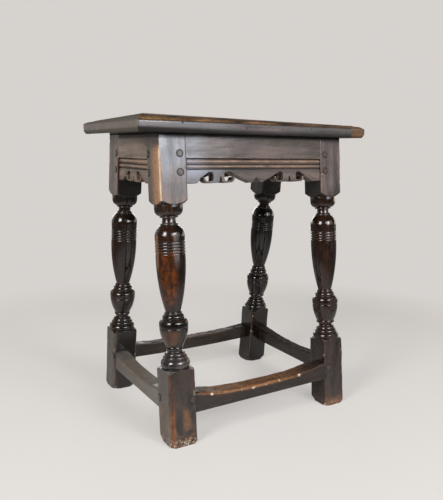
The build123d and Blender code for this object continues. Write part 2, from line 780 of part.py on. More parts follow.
for end_name, end in ends.items():
    save(f"frieze_{end_name}", short_frieze(end))
    save(f"stretcher_{end_name}", short_stretcher(end_name, end))
    frieze_pegs = [peg(end, side, "frieze", z, False) for side in (-1, 1) for z in frieze_peg_heights(False)]
    save(f"frieze_pegs_{end_name}", group(frieze_pegs))
    stretcher_pegs = [peg(end, side, "stretcher", stretcher_peg_height, False) for side in (-1, 1)]
    save(f"stretcher_pegs_{end_name}", group(stretcher_pegs))
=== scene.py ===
import math

import bmesh
import bpy
import numpy as np
from mathutils import Matrix, Vector


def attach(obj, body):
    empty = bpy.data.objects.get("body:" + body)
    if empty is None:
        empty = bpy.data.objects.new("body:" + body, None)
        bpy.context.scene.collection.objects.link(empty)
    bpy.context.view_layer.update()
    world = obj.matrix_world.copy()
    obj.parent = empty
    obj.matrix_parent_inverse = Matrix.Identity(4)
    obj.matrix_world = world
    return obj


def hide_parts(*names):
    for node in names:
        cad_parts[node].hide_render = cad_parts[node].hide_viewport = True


# Joined oak stool: finish and fine shapes. Lengths in this file are millimetres, and
# become metres where a mesh, a lamp or the camera is made. The stool stands on the floor
# with its long front toward -Y.

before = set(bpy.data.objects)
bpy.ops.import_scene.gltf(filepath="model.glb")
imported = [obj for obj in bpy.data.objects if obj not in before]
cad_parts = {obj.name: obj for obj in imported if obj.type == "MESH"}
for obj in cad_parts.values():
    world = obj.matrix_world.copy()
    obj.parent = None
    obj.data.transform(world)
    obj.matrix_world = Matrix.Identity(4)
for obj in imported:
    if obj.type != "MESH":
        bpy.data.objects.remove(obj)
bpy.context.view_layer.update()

MM = 0.001
frame_height = 525.5              # floor to the underside of the board
leg_spacing = 168.5               # half the distance between leg centre lines, left to right
floor_half = 139.85               # and front to back, on the floor
seat_half = 87.1                  # and under the seat
splay = math.atan((floor_half - seat_half) / frame_height)
leg_length = frame_height / math.cos(splay)
half_leg = 25.0                   # half the square of a leg, under the seat
mid_leg = 265.0                   # between a leg's foot square and its upper square
peg_high, peg_low = 35.5, 66.0    # frieze pegs, below the seat
peg_foot = 75.0                   # stretcher pegs, above the floor
peg_ring = 5.6                    # radius of the dark ring round a peg's end
rng_seed = 1660


# ---------------------------------------------------------------- working on whole arrays
def ripple(points, size, seed, waves=16):
    """Smooth random field, mostly -1 to 1: a sum of sine waves in seeded directions, with
    humps about size apart. Size may differ along X, Y and Z."""
    draw = np.random.default_rng(rng_seed + seed)
    way = draw.normal(size=(waves, 3))
    way /= np.linalg.norm(way, axis=1, keepdims=True)
    pitch = draw.uniform(0.6, 1.5, (waves, 1)) * 2 * np.pi / np.broadcast_to(size, (3,))
    phase = draw.uniform(0, 2 * np.pi, waves)
    return np.sin(points @ (way * pitch).T + phase).sum(-1) / math.sqrt(2 * waves)


def fade(value, start, end):
    """0 before start and 1 after end, with an eased S between."""
    share = np.clip((value - start) / (end - start), 0, 1)
    return share * share * (3 - 2 * share)


def within(value, start, full, fading, end):
    """1 from full to fading, eased down to 0 at start and at end."""
    return fade(value, start, full) * fade(value, end, fading)


def near(value, middle, reach, full):
    """1 within full of the middle, eased down to 0 at reach from it."""
    return fade(np.abs(value - middle), reach, full)


def soft_min(first, second, blend):
    """The smaller of two fields, with the crease between them eased over blend."""
    gap = np.clip(0.5 + 0.5 * (second - first) / blend, 0, 1)
    return second + (first - second) * gap - blend * gap * (1 - gap)


def with_caps(points, shares):
    """Rings with smaller copies of the first and last ring outside them, each drawn in to a
    share of its size."""
    shares = np.array(shares)[:, None, None]
    low, high = points[0], points[-1]
    return np.vstack([low.mean(0) + (low - low.mean(0)) * shares[::-1], points,
                      high.mean(0) + (high - high.mean(0)) * shares])


def capped_marks(marks, caps):
    """Marks with their first and last row repeated, once for each ring that caps an end."""
    return {key: np.vstack([value[:1]] * caps + [value] + [value[-1:]] * caps)
            for key, value in marks.items()}


def arc_through(steps, spacing):
    """Points along a moulded outline. Each step is (across, up, swell): the run arriving
    there is an arc that stands swell proud of its chord, to the right of its direction."""
    rows = []
    for (a0, b0, _), (a1, b1, swell) in zip(steps, steps[1:]):
        chord = math.hypot(a1 - a0, b1 - b0)
        least, closer = (7, 1.6) if swell else (2, 1)
        count = int(np.clip(round(chord / spacing * closer), least, 60))
        share = np.arange(1, count + 1) / count
        lift = np.zeros(count)
        if swell:
            radius = (chord * chord / 4 + swell * swell) / (2 * abs(swell))
            lift = np.sqrt(radius**2 - (chord * (share - 0.5)) ** 2) - (radius - abs(swell))
            lift *= math.copysign(1, swell)
        normal = np.array([b1 - b0, a0 - a1]) / chord
        line = np.array([a0, b0]) + share[:, None] * np.array([a1 - a0, b1 - b0])
        rows.append(line + lift[:, None] * normal)
    return np.vstack([[steps[0][:2]]] + rows)


def skin(name, rings, material, cad_node, marks, flat_ends=False):
    """Closed skin over rings of points [ring, round, xyz] in millimetres. Neighbouring rings
    are joined by four-sided faces, and the first and last ring are closed onto their
    middles, or with flat_ends by one flat face each. Marks are named values for each point,
    such as how worn it is."""
    count, around = rings.shape[:2]
    last_ring = (count - 1) * around
    ring, spot = np.meshgrid(np.arange(count - 1), np.arange(around), indexing="ij")
    after = (spot + 1) % around
    quads = np.stack([ring * around + spot, ring * around + after,
                      (ring + 1) * around + after, (ring + 1) * around + spot], -1).reshape(-1, 4)
    spot = np.arange(around)
    after = (spot + 1) % around
    points = rings.reshape(-1, 3)
    if flat_ends:
        caps = [spot[::-1].tolist(), (last_ring + spot).tolist()]
    else:
        points = np.vstack([points, rings[0].mean(0), rings[-1].mean(0)])
        low_middle = np.full(around, count * around)
        caps = (np.stack([low_middle, after, spot], -1).tolist()
                + np.stack([low_middle + 1, last_ring + spot, last_ring + after], -1).tolist())
    mesh = bpy.data.meshes.new(name)
    mesh.from_pydata((points * MM).tolist(), [], quads.tolist() + caps)
    smooth = np.ones(len(mesh.polygons), bool)
    smooth[len(quads):] = not flat_ends
    mesh.polygons.foreach_set("use_smooth", smooth)
    working = bmesh.new()
    working.from_mesh(mesh)
    bmesh.ops.recalc_face_normals(working, faces=working.faces)
    working.to_mesh(mesh)
    working.free()
    for mark_name, values in marks.items():
        layer = mesh.attributes.new(mark_name, "FLOAT", "POINT")
        flat = np.broadcast_to(values, rings.shape[:2]).reshape(-1)
        if not flat_ends:
            flat = np.append(flat, [np.mean(flat[:around]), np.mean(flat[-around:])])
        layer.data.foreach_set("value", flat.astype(np.float32))
    mesh.update()
    piece = bpy.data.objects.new(name, mesh)
    bpy.context.scene.collection.objects.link(piece)
    mesh.materials.append(material)
    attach(piece, "root")
    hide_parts(cad_node)


# ---------------------------------------------------------------- materials
def node(tree, kind, inputs=None, **settings):
    """Adds a node, sets its inputs by name or number, and returns it. An input that is a
    socket is linked, and anything else is its value."""
    made = tree.nodes.new(kind)
    for key, value in settings.items():
        setattr(made, key, value)
    for key, value in (inputs or {}).items():
        if isinstance(value, bpy.types.NodeSocket):
            tree.links.new(value, made.inputs[key])
        else:
            made.inputs[key].default_value = value
    return made


def maths(tree, operation, first, second=0.0, clamp=False):
    """One sum on two values or sockets."""
    return node(tree, "ShaderNodeMath", {0: first, 1: second}, operation=operation,
                use_clamp=clamp).outputs[0]


def between(tree, value, low, high, out_low=0.0, out_high=1.0):
    """A value stretched from one range onto another, and kept inside it."""
    return node(tree, "ShaderNodeMapRange",
                {0: value, 1: low, 2: high, 3: out_low, 4: out_high}).outputs[0]


def blend_colour(tree, share, first, second, mode="MIX"):
    """The first colour with a share of the second mixed or multiplied in."""
    mixed = node(tree, "ShaderNodeMix", {0: share}, data_type="RGBA", blend_type=mode)
    for place, colour in ((6, first), (7, second)):
        if isinstance(colour, bpy.types.NodeSocket):
            tree.links.new(colour, mixed.inputs[place])
        else:
            mixed.inputs[place].default_value = (*colour, 1)
    return mixed.outputs[2]


def noise(tree, place, scale, detail=3.0, rough=0.55):
    """Smooth noise about 0.5, with scale humps to the metre."""
    return node(tree, "ShaderNodeTexNoise", {"Vector": place, "Scale": scale, "Detail": detail,
                                             "Roughness": rough}).outputs["Fac"]


def mark(tree, name):
    """A mark that the mesh carries, or 0 where it has none of that name."""
    return node(tree, "ShaderNodeAttribute", attribute_name=name).outputs["Fac"]


near_black = (0.0058, 0.0045, 0.0038)
deep_brown = (0.016, 0.0095, 0.0065)
warm_brown = (0.046, 0.022, 0.011)
worn_gold = (0.26, 0.115, 0.045)
# Hazy wax with painted sheen in grey and rosy, and a blue painted sheen for the windows' highlights and
# reflections.
grey_haze_sheen, rosy_haze_sheen = (0.074, 0.071, 0.066), (0.152, 0.098, 0.088)
sheen_blue = (0.25, 0.265, 0.31)
ruddy = (0.098, 0.024, 0.004)
# Worn-through wood at chips, also painted as a highlight along one arris.
bare_wood_and_glint = (0.52, 0.42, 0.29)
dull_brown = (0.125, 0.107, 0.086)
pore_dark = (0.008, 0.006, 0.004)
# Near-black for painted shade and dirt, and for the rings round peg ends.
shade_and_grime_dark = (0.006, 0.005, 0.0045)
wax_coat = 0.18


def waxed_oak(name, along, dark, brown, warm, edge_colour=worn_gold, gloss=(0.20, 0.42),
              edges=False, planed=4.0, worm_holes=(), turned_coat=None):
    """Old waxed oak. Grain is noise drawn out along one axis, over slow patches of colour;
    pores are fine flecks, dark and sunk. The marks then lay over it, in order: hazy wax with
    painted sheen, a blue painted sheen for highlights and reflections, the dark gloss of turned
    parts, which also paints shade on hidden faces, wear to edge_colour, ruddy patches,
    worn-through wood with a painted highlight along an arris, dulled faces, and near-black
    painted shade with dirt, the rings round peg ends and worm holes. Roughness and bump follow
    the grain. With edges, open edges of the mesh are worn too and the painted shade comes from
    its hollows. Worm holes are points in millimetres."""
    material = bpy.data.materials.new(name)
    material.use_nodes = True
    tree = material.node_tree
    surface = tree.nodes["Principled BSDF"]

    def times(first, second):
        return maths(tree, "MULTIPLY", first, second)

    def plus(first, second, clamp=False):
        return maths(tree, "ADD", first, second, clamp)

    def minus(first, second):
        return maths(tree, "SUBTRACT", first, second)

    def over(share, under, colour):
        return blend_colour(tree, share, under, colour)

    place = node(tree, "ShaderNodeTexCoord").outputs["Object"]
    squeeze = {"X": (0.07, 1, 1), "Y": (1, 0.07, 1), "Z": (1, 1, 0.07)}[along]
    drawn = node(tree, "ShaderNodeMapping", {"Vector": place, "Scale": squeeze}).outputs[0]
    patches = noise(tree, place, 14)
    streaks = noise(tree, drawn, 90, 4, 0.6)
    grain = noise(tree, drawn, 420, 3, 0.6)
    pores = between(tree, noise(tree, drawn, 1500, 2), 0.58, 0.72)
    mottled = noise(tree, place, 160, 3, 0.65)
    clouds = noise(tree, drawn, 34, 3, 0.6)
    tone = plus(times(streaks, 0.6), times(patches, 0.4))
    colour = over(between(tree, tone, 0.40, 0.60), dark, brown)
    colour = over(between(tree, grain, 0.45, 0.75, 0.0, 0.5), colour, warm)

    # Hazy wax and painted sheen: faces that catch the windows' reflection are painted lighter.
    haze_and_sheen = over(between(tree, clouds, 0.40, 0.60), grey_haze_sheen, rosy_haze_sheen)
    colour = over(times(mark(tree, "haze_and_sheen"), between(tree, tone, 0.38, 0.60, 0.2, 1.15)), colour, haze_and_sheen)
    # Painted sheen: blue-white highlights and window reflections painted into the colour.
    painted_sheen = times(mark(tree, "painted_sheen"), between(tree, clouds, 0.36, 0.60, 0.25, 1.1))
    colour = over(painted_sheen, colour, sheen_blue)
    # Turned parts are darker; the same mark paints shade on the back legs' inner faces.
    turned = mark(tree, "turned")
    darker = between(tree, turned, 0.0, 1.0, 1.0, 0.42)
    colour = blend_colour(tree, 1.0, colour, darker, "MULTIPLY")

    seam = between(tree, maths(tree, "ABSOLUTE", minus(mark(tree, "from_peg"), peg_ring)), 1.5, 0.9)
    for hole in worm_holes:
        away = node(tree, "ShaderNodeVectorMath", {0: place, 1: [MM * v for v in hole]},
                    operation="DISTANCE").outputs["Value"]
        seam = maths(tree, "MAXIMUM", seam, between(tree, away, 0.0018, 0.0011))
    worn = mark(tree, "worn")
    if edges:
        rounded = node(tree, "ShaderNodeBevel", {"Radius": 0.0016}, samples=6).outputs[0]
        flat = node(tree, "ShaderNodeNewGeometry").outputs["Normal"]
        turn = node(tree, "ShaderNodeVectorMath", {0: rounded, 1: flat},
                    operation="DOT_PRODUCT").outputs["Value"]
        hollow = node(tree, "ShaderNodeAmbientOcclusion", {"Distance": 0.006}, samples=6).outputs["AO"]
        open_edge = times(between(tree, turn, 0.985, 0.80), between(tree, hollow, 0.55, 0.9))
        worn = plus(worn, times(open_edge, between(tree, mottled, 0.35, 0.6, 0.25, 1.0)), True)
        # Painted shade: the colour darkens where ambient occlusion finds hollows.
        shade_and_grime = between(tree, hollow, 0.75, 0.30)
    else:
        shade_and_grime = mark(tree, "shade_and_grime")
    colour = over(times(worn, between(tree, mottled, 0.25, 0.62, 0.45, 1.0)), colour, edge_colour)
    cloudy = plus(times(noise(tree, drawn, 260, 4, 0.65), 0.3), times(noise(tree, place, 95, 4, 0.7), 0.7))
    colour = over(times(mark(tree, "red"), between(tree, cloudy, 0.40, 0.62, 0.08, 1.0)), colour, ruddy)
    # Worn-through chips, and a painted highlight along the front left leg's arris.
    colour = over(mark(tree, "bare_and_glint"), colour, bare_wood_and_glint)
    dull = mark(tree, "dull")
    colour = over(dull, colour, dull_brown)
    colour = over(times(pores, 0.55), colour, pore_dark)
    # Painted shade and dirt, with the peg rings and worm holes, go near-black.
    shade_and_grime = maths(tree, "MAXIMUM", shade_and_grime, seam)
    colour = over(times(shade_and_grime, 0.9), colour, shade_and_grime_dark)
    tree.links.new(colour, surface.inputs["Base Color"])

    rough = between(tree, plus(times(streaks, 0.5), times(mottled, 0.5)), 0.38, 0.64, *gloss)
    rough = minus(rough, times(turned, 0.15))
    rough = plus(rough, times(shade_and_grime, 0.35))
    rough = plus(rough, times(seam, 0.4))
    rough = plus(rough, times(dull, 0.3))
    rough = plus(rough, times(pores, 0.15), True)
    tree.links.new(rough, surface.inputs["Roughness"])

    height = minus(times(grain, 0.8), times(pores, 0.5))
    height = plus(height, times(mottled, 0.12))
    height = plus(height, times(noise(tree, drawn, 55, 2), planed))
    height = minus(height, times(seam, 2.5))
    bump = node(tree, "ShaderNodeBump", {"Strength": 0.25, "Distance": 0.0004, "Height": height})
    if edges:
        tree.links.new(rounded, bump.inputs["Normal"])
    tree.links.new(bump.outputs[0], surface.inputs["Normal"])

    coat = surface.inputs["Coat Weight"]
    if turned_coat is None:
        coat.default_value = wax_coat
    else:
        tree.links.new(between(tree, turned, 0.0, 1.0, wax_coat, turned_coat), coat)
    surface.inputs["Coat Roughness"].default_value = 0.09
    surface.inputs["Specular IOR Level"].default_value = 0.27
    return material


leg_oak = waxed_oak("leg_oak", "Z", near_black, deep_brown, warm_brown, gloss=(0.18, 0.38),
                    planed=2.5, turned_coat=0.36)
seat_oak = waxed_oak("seat_oak", "X", near_black, deep_brown, (0.065, 0.028, 0.011), (0.25, 0.132, 0.058),
                     worm_holes=((-36.9, -135.0, 535.9), (104.0, -135.0, 539.0), (-160.0, -135.0, 541.5)))
long_oak = waxed_oak("rail_oak_long", "X", (0.022, 0.017, 0.014), (0.084, 0.058, 0.047),
                     (0.10, 0.066, 0.050), (0.25, 0.138, 0.078))
short_oak = waxed_oak("rail_oak_short", "Y", (0.036, 0.027, 0.020), (0.178, 0.122, 0.090),
                      (0.18, 0.108, 0.068), (0.28, 0.155, 0.09))
bar_oak_long = waxed_oak("stretcher_oak_long", "X", near_black, deep_brown, warm_brown)
bar_oak_short = waxed_oak("stretcher_oak_short", "Y", near_black, deep_brown, warm_brown)
peg_oak = waxed_oak("peg_oak", "Z", near_black, (0.05, 0.036, 0.027), (0.09, 0.06, 0.04), edges=True)


# ---------------------------------------------------------------- legs
# A leg is (side, end): side is -1 at the front and 1 at the back, end -1 left and 1 right.
front_left, front_right, back_left, back_right = (-1, -1), (-1, 1), (1, -1), (1, 1)
leg_names = {front_left: "front_left", front_right: "front_right",
             back_left: "back_left", back_right: "back_right"}
# Half the square of each foot, the radius of the ring under the urn, and how far the foot of
# the upper square is lower and the waist, the beads on the foot and the reeds are higher.
foot_half = {front_left: 25.3, front_right: 23.5, back_left: 24.7, back_right: 23.6}
urn_ring = {front_left: 14.6, front_right: 17.2, back_left: 15.2, back_right: 17.2}
square_drop = {front_left: 3.5, front_right: 0.0, back_left: 2.0, back_right: 7.5}
waist_lift = {front_left: -1.6, front_right: 0.0, back_left: 0.0, back_right: 6.5}
bead_lift = {front_left: 4.0, front_right: 0.0, back_left: 0.0, back_right: 0.0}
band_lift = {front_left: 5.0, front_right: 0.0, back_left: 0.0, back_right: 0.0}
reeds = {front_left: 4, front_right: 3, back_left: 4, back_right: 3}
reed_pitch = 5.0


def leg_axes(side):
    """Unit vectors of a leaning leg: up its centre line, and across it front to back."""
    return (np.array([0, -side * math.sin(splay), math.cos(splay)]),
            np.array([0, math.cos(splay), side * math.sin(splay)]))


def leg_line(height, outward=0.0):
    """How far the legs' centre line is from the middle, front to back, at a height, with a
    distance outward across the leaning leg added."""
    return floor_half + (seat_half - floor_half) * height / frame_height + outward / math.cos(splay)


def turned_steps(which):
    """Steps of one leg's turned outline, from the sole up: radius, height and swell."""
    lift, drop, bead = waist_lift[which], square_drop[which], bead_lift[which]
    corner = foot_half[which] * math.sqrt(2) + 1
    ring = urn_ring[which]
    steps = [
        (corner, -4, 0), (corner, 115.0, 0), (24.6, 129.9, 5.4), (23.3, 130.6, 0), (23.5, 131.2, 0),
        (21.6, 142.0 + bead, 2.6), (20.6, 142.4 + bead, 0), (20.7, 142.9 + bead, 0),
        (18.6, 148.2 + bead * 0.8, 1.2), (17.8, 148.6 + bead * 0.8, 0), (17.9, 149.0 + bead * 0.8, 0),
        (13.4, 155.4 + bead * 0.5, 1.7), (12.7, 156.2 + bead * 0.5, 0), (12.6, 161.2, -0.2),
        (ring - 0.6, 161.6, 0), (ring, 162.2, 0), (ring, 166.2, 0.3), (ring - 0.5, 166.9, 0),
        (24.8, 199.0, 1.9), (24.0, 199.7, 0), (24.0, 200.2, 0), (24.8, 200.9, 0), (24.9, 206.6, 0.2),
        (19.4, 215.0, 1.7), (18.4, 215.5, 0), (18.0, 216.2 + lift / 4, 0), (16.0, 223.4 + lift / 2, 1.5),
        (15.2, 223.9 + lift / 2, 0), (15.1, 224.4 + lift / 2, 0), (13.6, 228.4 + lift, 0.9),
        (13.0, 229.0 + lift, 0),
    ]
    square_end = leg_length - 115.0 - drop
    neck_top = square_end - 24.0 + drop / 2
    shoulder_top = neck_top - 13.0
    shoulder_foot = shoulder_top - 21.0
    band_foot = shoulder_foot - 11.0 - reeds[which] * reed_pitch + band_lift[which]
    steps.append((24.9, band_foot - 8, 3.0))
    for groove in range(reeds[which] + 1):
        middle = band_foot + groove * reed_pitch
        steps += [(24.8, middle - 0.9, 0.35 if groove else 0), (23.7, middle - 0.15, 0),
                  (23.7, middle + 0.15, 0), (24.8, middle + 0.9, 0)]
    steps += [
        (24.9, shoulder_foot, 0), (15.6, shoulder_top - 0.4, 2.9), (14.3, shoulder_top + 0.1, 0),
        (14.4, shoulder_top + 0.7, 0), (13.2, shoulder_top + 4.0, 0.9), (12.0, shoulder_top + 4.5, 0),
        (11.2, neck_top - 0.2, -0.2), (15.0, neck_top, 0), (15.4, neck_top + 0.5, 0),
        (15.3, neck_top + 2.0, 0), (14.6, neck_top + 2.5, 0), (24.1, neck_top + 13.2, 2.6),
        (24.2, square_end - 0.2, 0.2), (24.9, square_end, 0), (36.4, square_end + 8.6, 0.4),
        (36.4, leg_length + 4, 0),
    ]
    return steps


def leg_rows(which):
    """Heights up one leg and the turned radius at each: every point of the turned outline,
    and a row each 2 mm on the squares. The front left baluster is a little fuller."""
    outline = arc_through(turned_steps(which), 1.0)
    outline = outline[(outline[:, 1] >= 0) & (outline[:, 1] <= leg_length)]
    foot_rows = np.arange(0, 117.5, 2.0)
    top_rows = np.arange(leg_length - 104, leg_length + 0.1, 2.0)
    up = np.concatenate([foot_rows, outline[:, 1], top_rows, [leg_length]])
    out = np.interp(up, outline[:, 1], outline[:, 0])
    out[len(foot_rows):len(foot_rows) + len(outline)] = outline[:, 0]
    order = np.argsort(up, kind="stable")
    up, out = up[order], out[order]
    keep = np.concatenate([[True], (np.abs(np.diff(up)) + np.abs(np.diff(out))) > 0.02])
    up, out = up[keep], out[keep]
    if which == front_left:
        out = out * (1 + 0.022 * within(up, 228, 250, 380, 395))
    return up, out


def square_radius(half, arris, from_middle):
    """Distance out to a square's face at an angle from the middle of that face, for a square
    of given half width whose corners are rounded to the radius arris."""
    inner = half - arris
    reach = inner * (np.cos(from_middle) + np.sin(from_middle))
    rounded = reach + np.sqrt(np.maximum(reach**2 - 2 * inner**2 + arris**2, 0))
    return np.where(rounded * np.sin(from_middle) > inner, rounded, half / np.cos(from_middle))


def leg(which):
    """One leg, as rings of radius(angle, height): the smaller of a square with rounded
    corners and the turned outline. The rings stand across the leaning centre line, and tilt
    level at the sole and under the seat. Corners are worn by a random field."""
    side, end = which
    rows_up, rows_out = leg_rows(which)
    step = (np.arange(30) + 0.5) / 15 - 1
    face = np.pi / 4 * (0.55 * np.sin(np.pi / 2 * step) + 0.45 * step)
    angle = (np.arange(4)[:, None] * np.pi / 2 + face).ravel()
    up = np.broadcast_to(rows_up[:, None], (len(rows_up), len(angle)))
    out = np.broadcast_to(rows_out[:, None], up.shape)
    turn = np.broadcast_to(angle, up.shape)
    lean, depth = leg_axes(side)

    def place(radius, height):
        across = radius * np.cos(turn)
        deep = radius * np.sin(turn)
        foot = np.array([end * leg_spacing, side * floor_half, 0])
        return (foot + across[..., None] * np.array([1, 0, 0]) + deep[..., None] * depth
                + height[..., None] * lean)

    # The distance round the square from the front left arris, and the worn strip beside it.
    half = np.where(up < mid_leg, foot_half[which], half_leg)
    spots = place(half, up)
    face_half = half / np.maximum(np.abs(np.cos(turn)), np.abs(np.sin(turn)))
    from_arris = face_half * (np.cos(turn) - np.sin(turn))
    faces_front_left = np.cos(turn + 3 * np.pi / 4) > 0
    by_arris = faces_front_left * np.where(up < mid_leg, within(from_arris, -5.5, -2.5, 6.0, 10.5),
                                           within(from_arris, -40, -12, 1.2, 3.4))
    arris = (np.where(up < mid_leg, 4.6, 1.6)
             + 0.9 * ripple(spots, (30, 30, 45), 1) * np.where(up < mid_leg, 1.2, 0.5))
    if which == front_left:
        arris = arris + by_arris * np.where(up < mid_leg, 1.5 * fade(up, 110, 60),
                                            3.4 * fade(up, 505, 470) * fade(from_arris, -12, -7))
    if which == back_left:
        arris = arris + 2.4 * by_arris * (up < mid_leg)
    arris = np.clip(arris, 0.6, 7.5)

    from_middle = np.pi / 4 - np.abs(np.mod(turn, np.pi / 2) - np.pi / 4)
    square = square_radius(half, arris, from_middle)
    radius = soft_min(square, out, 0.5)
    level = place(radius, up)[..., 2]
    sole_lift = 12 + 3 * ripple(spots, (25, 25, 60), 3)
    sole = half * math.sqrt(2) + 1 - 9 * (1 - np.clip(level / sole_lift, 0, 1)) ** 1.6
    radius = np.where(up < 40, soft_min(radius, sole, 0.6), radius)
    on_square = fade(square - out, 0.6, -0.6)
    at_corner = fade(np.sin(from_middle) * radius, half - 7, half - 1) * on_square
    chip = fade(ripple(spots, (7, 7, 14), 5), 0.75, 1.3) * at_corner
    radius = radius - 0.9 * chip - 0.16 * on_square * (1 + ripple(spots, (24, 24, 60), 7))
    tilt = fade(up, 118, 20) + fade(up, leg_length - 106, leg_length - 20)
    points = place(radius, up - tilt * radius * np.sin(turn) * side * math.tan(splay))
    points[0, :, 2] = 0.0
    points[-1, :, 2] = frame_height

    nearby = [np.interp(rows_up + shift, rows_up, rows_out) for shift in np.linspace(-2.2, 2.2, 9)]
    dip = (np.mean(nearby, 0) - rows_out)[:, None]
    edge = fade(np.sin(from_middle) * radius, half - 3.2, half - 0.8) * on_square
    marks = leg_marks(which, turn, up, spots, on_square, from_arris, by_arris, chip, edge, dip)
    marks["from_peg"] = from_peg(points, which)
    name = leg_names[which]
    skin(f"turned_leg_{name}", with_caps(points, (0.97, 0.8, 0.4)), leg_oak,
         f"leg_{name}", capped_marks(marks, 3))


def leg_marks(which, turn, up, spots, on_square, from_arris, by_arris, chip, edge, dip):
    """Wear and painted light of a leg, as shares from 0 to 1 over its rings. Dips of the turning
    are darker, and crests are rubbed and lightened as painted highlights, as are the front feet's
    shoulders; the squares are rubbed along their edges, hazy with painted sheen in front and on
    the left, dull on the left, and darkened as painted shade under the seat on the front legs
    and on the inner faces from about where the rails begin. The front left leg is the most
    worn, and its turning is ruddy toward the front left."""
    side, end = which
    low, high = up < mid_leg, up > mid_leg
    turning = 1 - on_square
    crest = fade(-dip, 0.15, 0.7) * turning
    patchy = 0.5 + 0.5 * ripple(spots, (18, 18, 40), 11)
    veins = 0.5 + 0.5 * ripple(spots, (5, 5, 50), 15)
    shoulder = turning * within(up, 108, 113, 129, 131) * (side < 0)
    beside_rail = fade(np.cos(turn + np.pi / 4), 0.90, 0.97) * high * (side < 0)
    to_front_left = fade(np.cos(turn + np.radians(130)), 0.50, 0.97)
    front_face = fade(-np.sin(turn), 0.68, 0.74) * on_square * (side < 0)
    left_face = fade(-np.cos(turn), 0.70, 0.78) * on_square * (end < 0)
    inner_face = on_square * np.maximum(fade(-end * np.cos(turn), 0.70, 0.76),
                                        fade(-side * np.sin(turn), 0.70, 0.76))

    worn = edge * (0.12 + 0.35 * patchy) * (1 - beside_rail) + crest * 0.12 * patchy
    bare_and_glint = chip * 0.35
    red = np.zeros_like(up)
    # Painted sheen over hazy wax: front and left faces of the squares lighter where windows reflect, and
    # painted highlights on crests and the front feet's shoulders.
    haze_and_sheen = (0.95 if which == front_left else 0.66) * front_face * fade(up, 300, 330)
    haze_and_sheen = haze_and_sheen + 0.10 * front_face * fade(up, 330, 300)
    haze_and_sheen = haze_and_sheen + (0.3 if side < 0 else 0.8) * left_face * fade(up, 300, 330)
    haze_and_sheen = haze_and_sheen + 0.75 * shoulder + (0.9 if which == front_left else 0.4) * crest * (side < 0)
    # A blue painted highlight on the front feet's shoulders.
    painted_sheen = 0.45 * shoulder * fade(ripple(spots, (9, 9, 9), 23), -0.3, 0.6)
    dull = np.where(low, 0.27, 0.2 if side < 0 else 0.36) * left_face * (1 - by_arris * high)
    # Darker in the dips of the turning; painted shade on the inner faces of the upper squares, and a painted
    # shadow under the seat on the front legs.
    shade_and_grime = fade(dip, 0.25, 1.2) * turning * fade(up, 128.5, 130.5)
    shade_and_grime = np.maximum(shade_and_grime, 0.75 * inner_face * fade(up, 380, 430))
    shade_and_grime = np.maximum(shade_and_grime, 0.95 * fade(up, leg_length - 10, leg_length - 5) * (side < 0))

    if which == front_left:
        foot_streaks = 0.6 * fade(up, 85, 45) * fade(veins, 0.25, 0.9)
        worn = worn + by_arris * np.where(low, foot_streaks, 1.25 * fade(up, 515, 495) * on_square)
        worn = worn + (0.34 * on_square * within(up, 14, 30, 55, 84)
                       * fade(ripple(spots, (22, 22, 30), 19), -0.7, 0.8))
        worn = worn + 0.26 * to_front_left**2 * turning * within(up, 166, 176, 192, 202) * patchy
        worn = worn + 0.6 * fade(ripple(spots, (9, 9, 7), 16), -0.3, 0.8) * fade(up, 24, 8)
        worn = worn + (0.42 * front_face * (up > 300) * fade(up, leg_length - 35, leg_length - 80)
                       * fade(ripple(spots, (4, 4, 50), 26), -0.2, 1.0))
        flame = 0.5 + 0.5 * fade(ripple(spots, (13, 13, 26), 24), -0.9, 0.5)
        red = red + to_front_left * turning * within(up, 225, 250, 325, 340) * flame
        red = red + (to_front_left**2 * turning
                     * (0.3 * within(up, 166, 180, 190, 200) + 0.2 * fade(up, 340, 350)))
        red = red + by_arris * on_square * low * (0.3 + 0.75 * fade(up, 92, 62) * fade(veins, -0.1, 0.8))
        # A bright gold line along the front left arris: partly worn-through wood, partly a painted
        # highlight.
        arris_glint = near(from_arris, -0.6, 2.8, 0.9) * (np.cos(turn + 3 * np.pi / 4) > 0)
        bare_and_glint = bare_and_glint + 0.85 * arris_glint * high * on_square * fade(up, 512, 496) * patchy
        bare_and_glint = bare_and_glint + (0.24 * by_arris * high * on_square * fade(up, 512, 480)
                       * fade(from_arris, -16, -4) * (0.4 + 0.6 * patchy))
        bare_and_glint = bare_and_glint + 0.8 * fade(ripple(spots, (4, 4, 5), 13), 0.3, 0.9) * fade(up, 20, 5)
        bare_and_glint = bare_and_glint + 0.5 * fade(ripple(spots, (3, 3, 6), 14), 0.9, 1.3) * fade(up, 55, 20) * by_arris
        # Painted highlights on the ball above the foot and on the turning under the upper square.
        haze_and_sheen = haze_and_sheen + 0.8 * turning * within(up, 130, 134, 160, 168)
        haze_and_sheen = haze_and_sheen + (0.5 * turning * fade(up, leg_length - 146, leg_length - 138)
                       * fade(veins, 0.2, 0.8))
        # A painted reflection of the windows on the upper square's front face, less beside the rail.
        painted_sheen = painted_sheen + front_face * (0.55 * fade(up, leg_length - 95, leg_length - 40) + 0.04 * (up > 300))
        painted_sheen = painted_sheen * (1 - 0.5 * beside_rail)
    elif which == front_right:
        red = red + 0.15 * to_front_left * turning
        worn = worn + 0.35 * fade(up, 22, 4)
        bare_and_glint = bare_and_glint + 0.7 * fade(ripple(spots, (5, 5, 5), 17), 0.6, 1.1) * fade(up, 15, 3)
    elif which == back_left:
        red = red + 0.15 * fade(np.cos(turn + np.radians(165)), 0.5, 1.0) * turning
        # Painted sheen along the foot's front left arris.
        haze_and_sheen = haze_and_sheen + 0.6 * by_arris * on_square * low
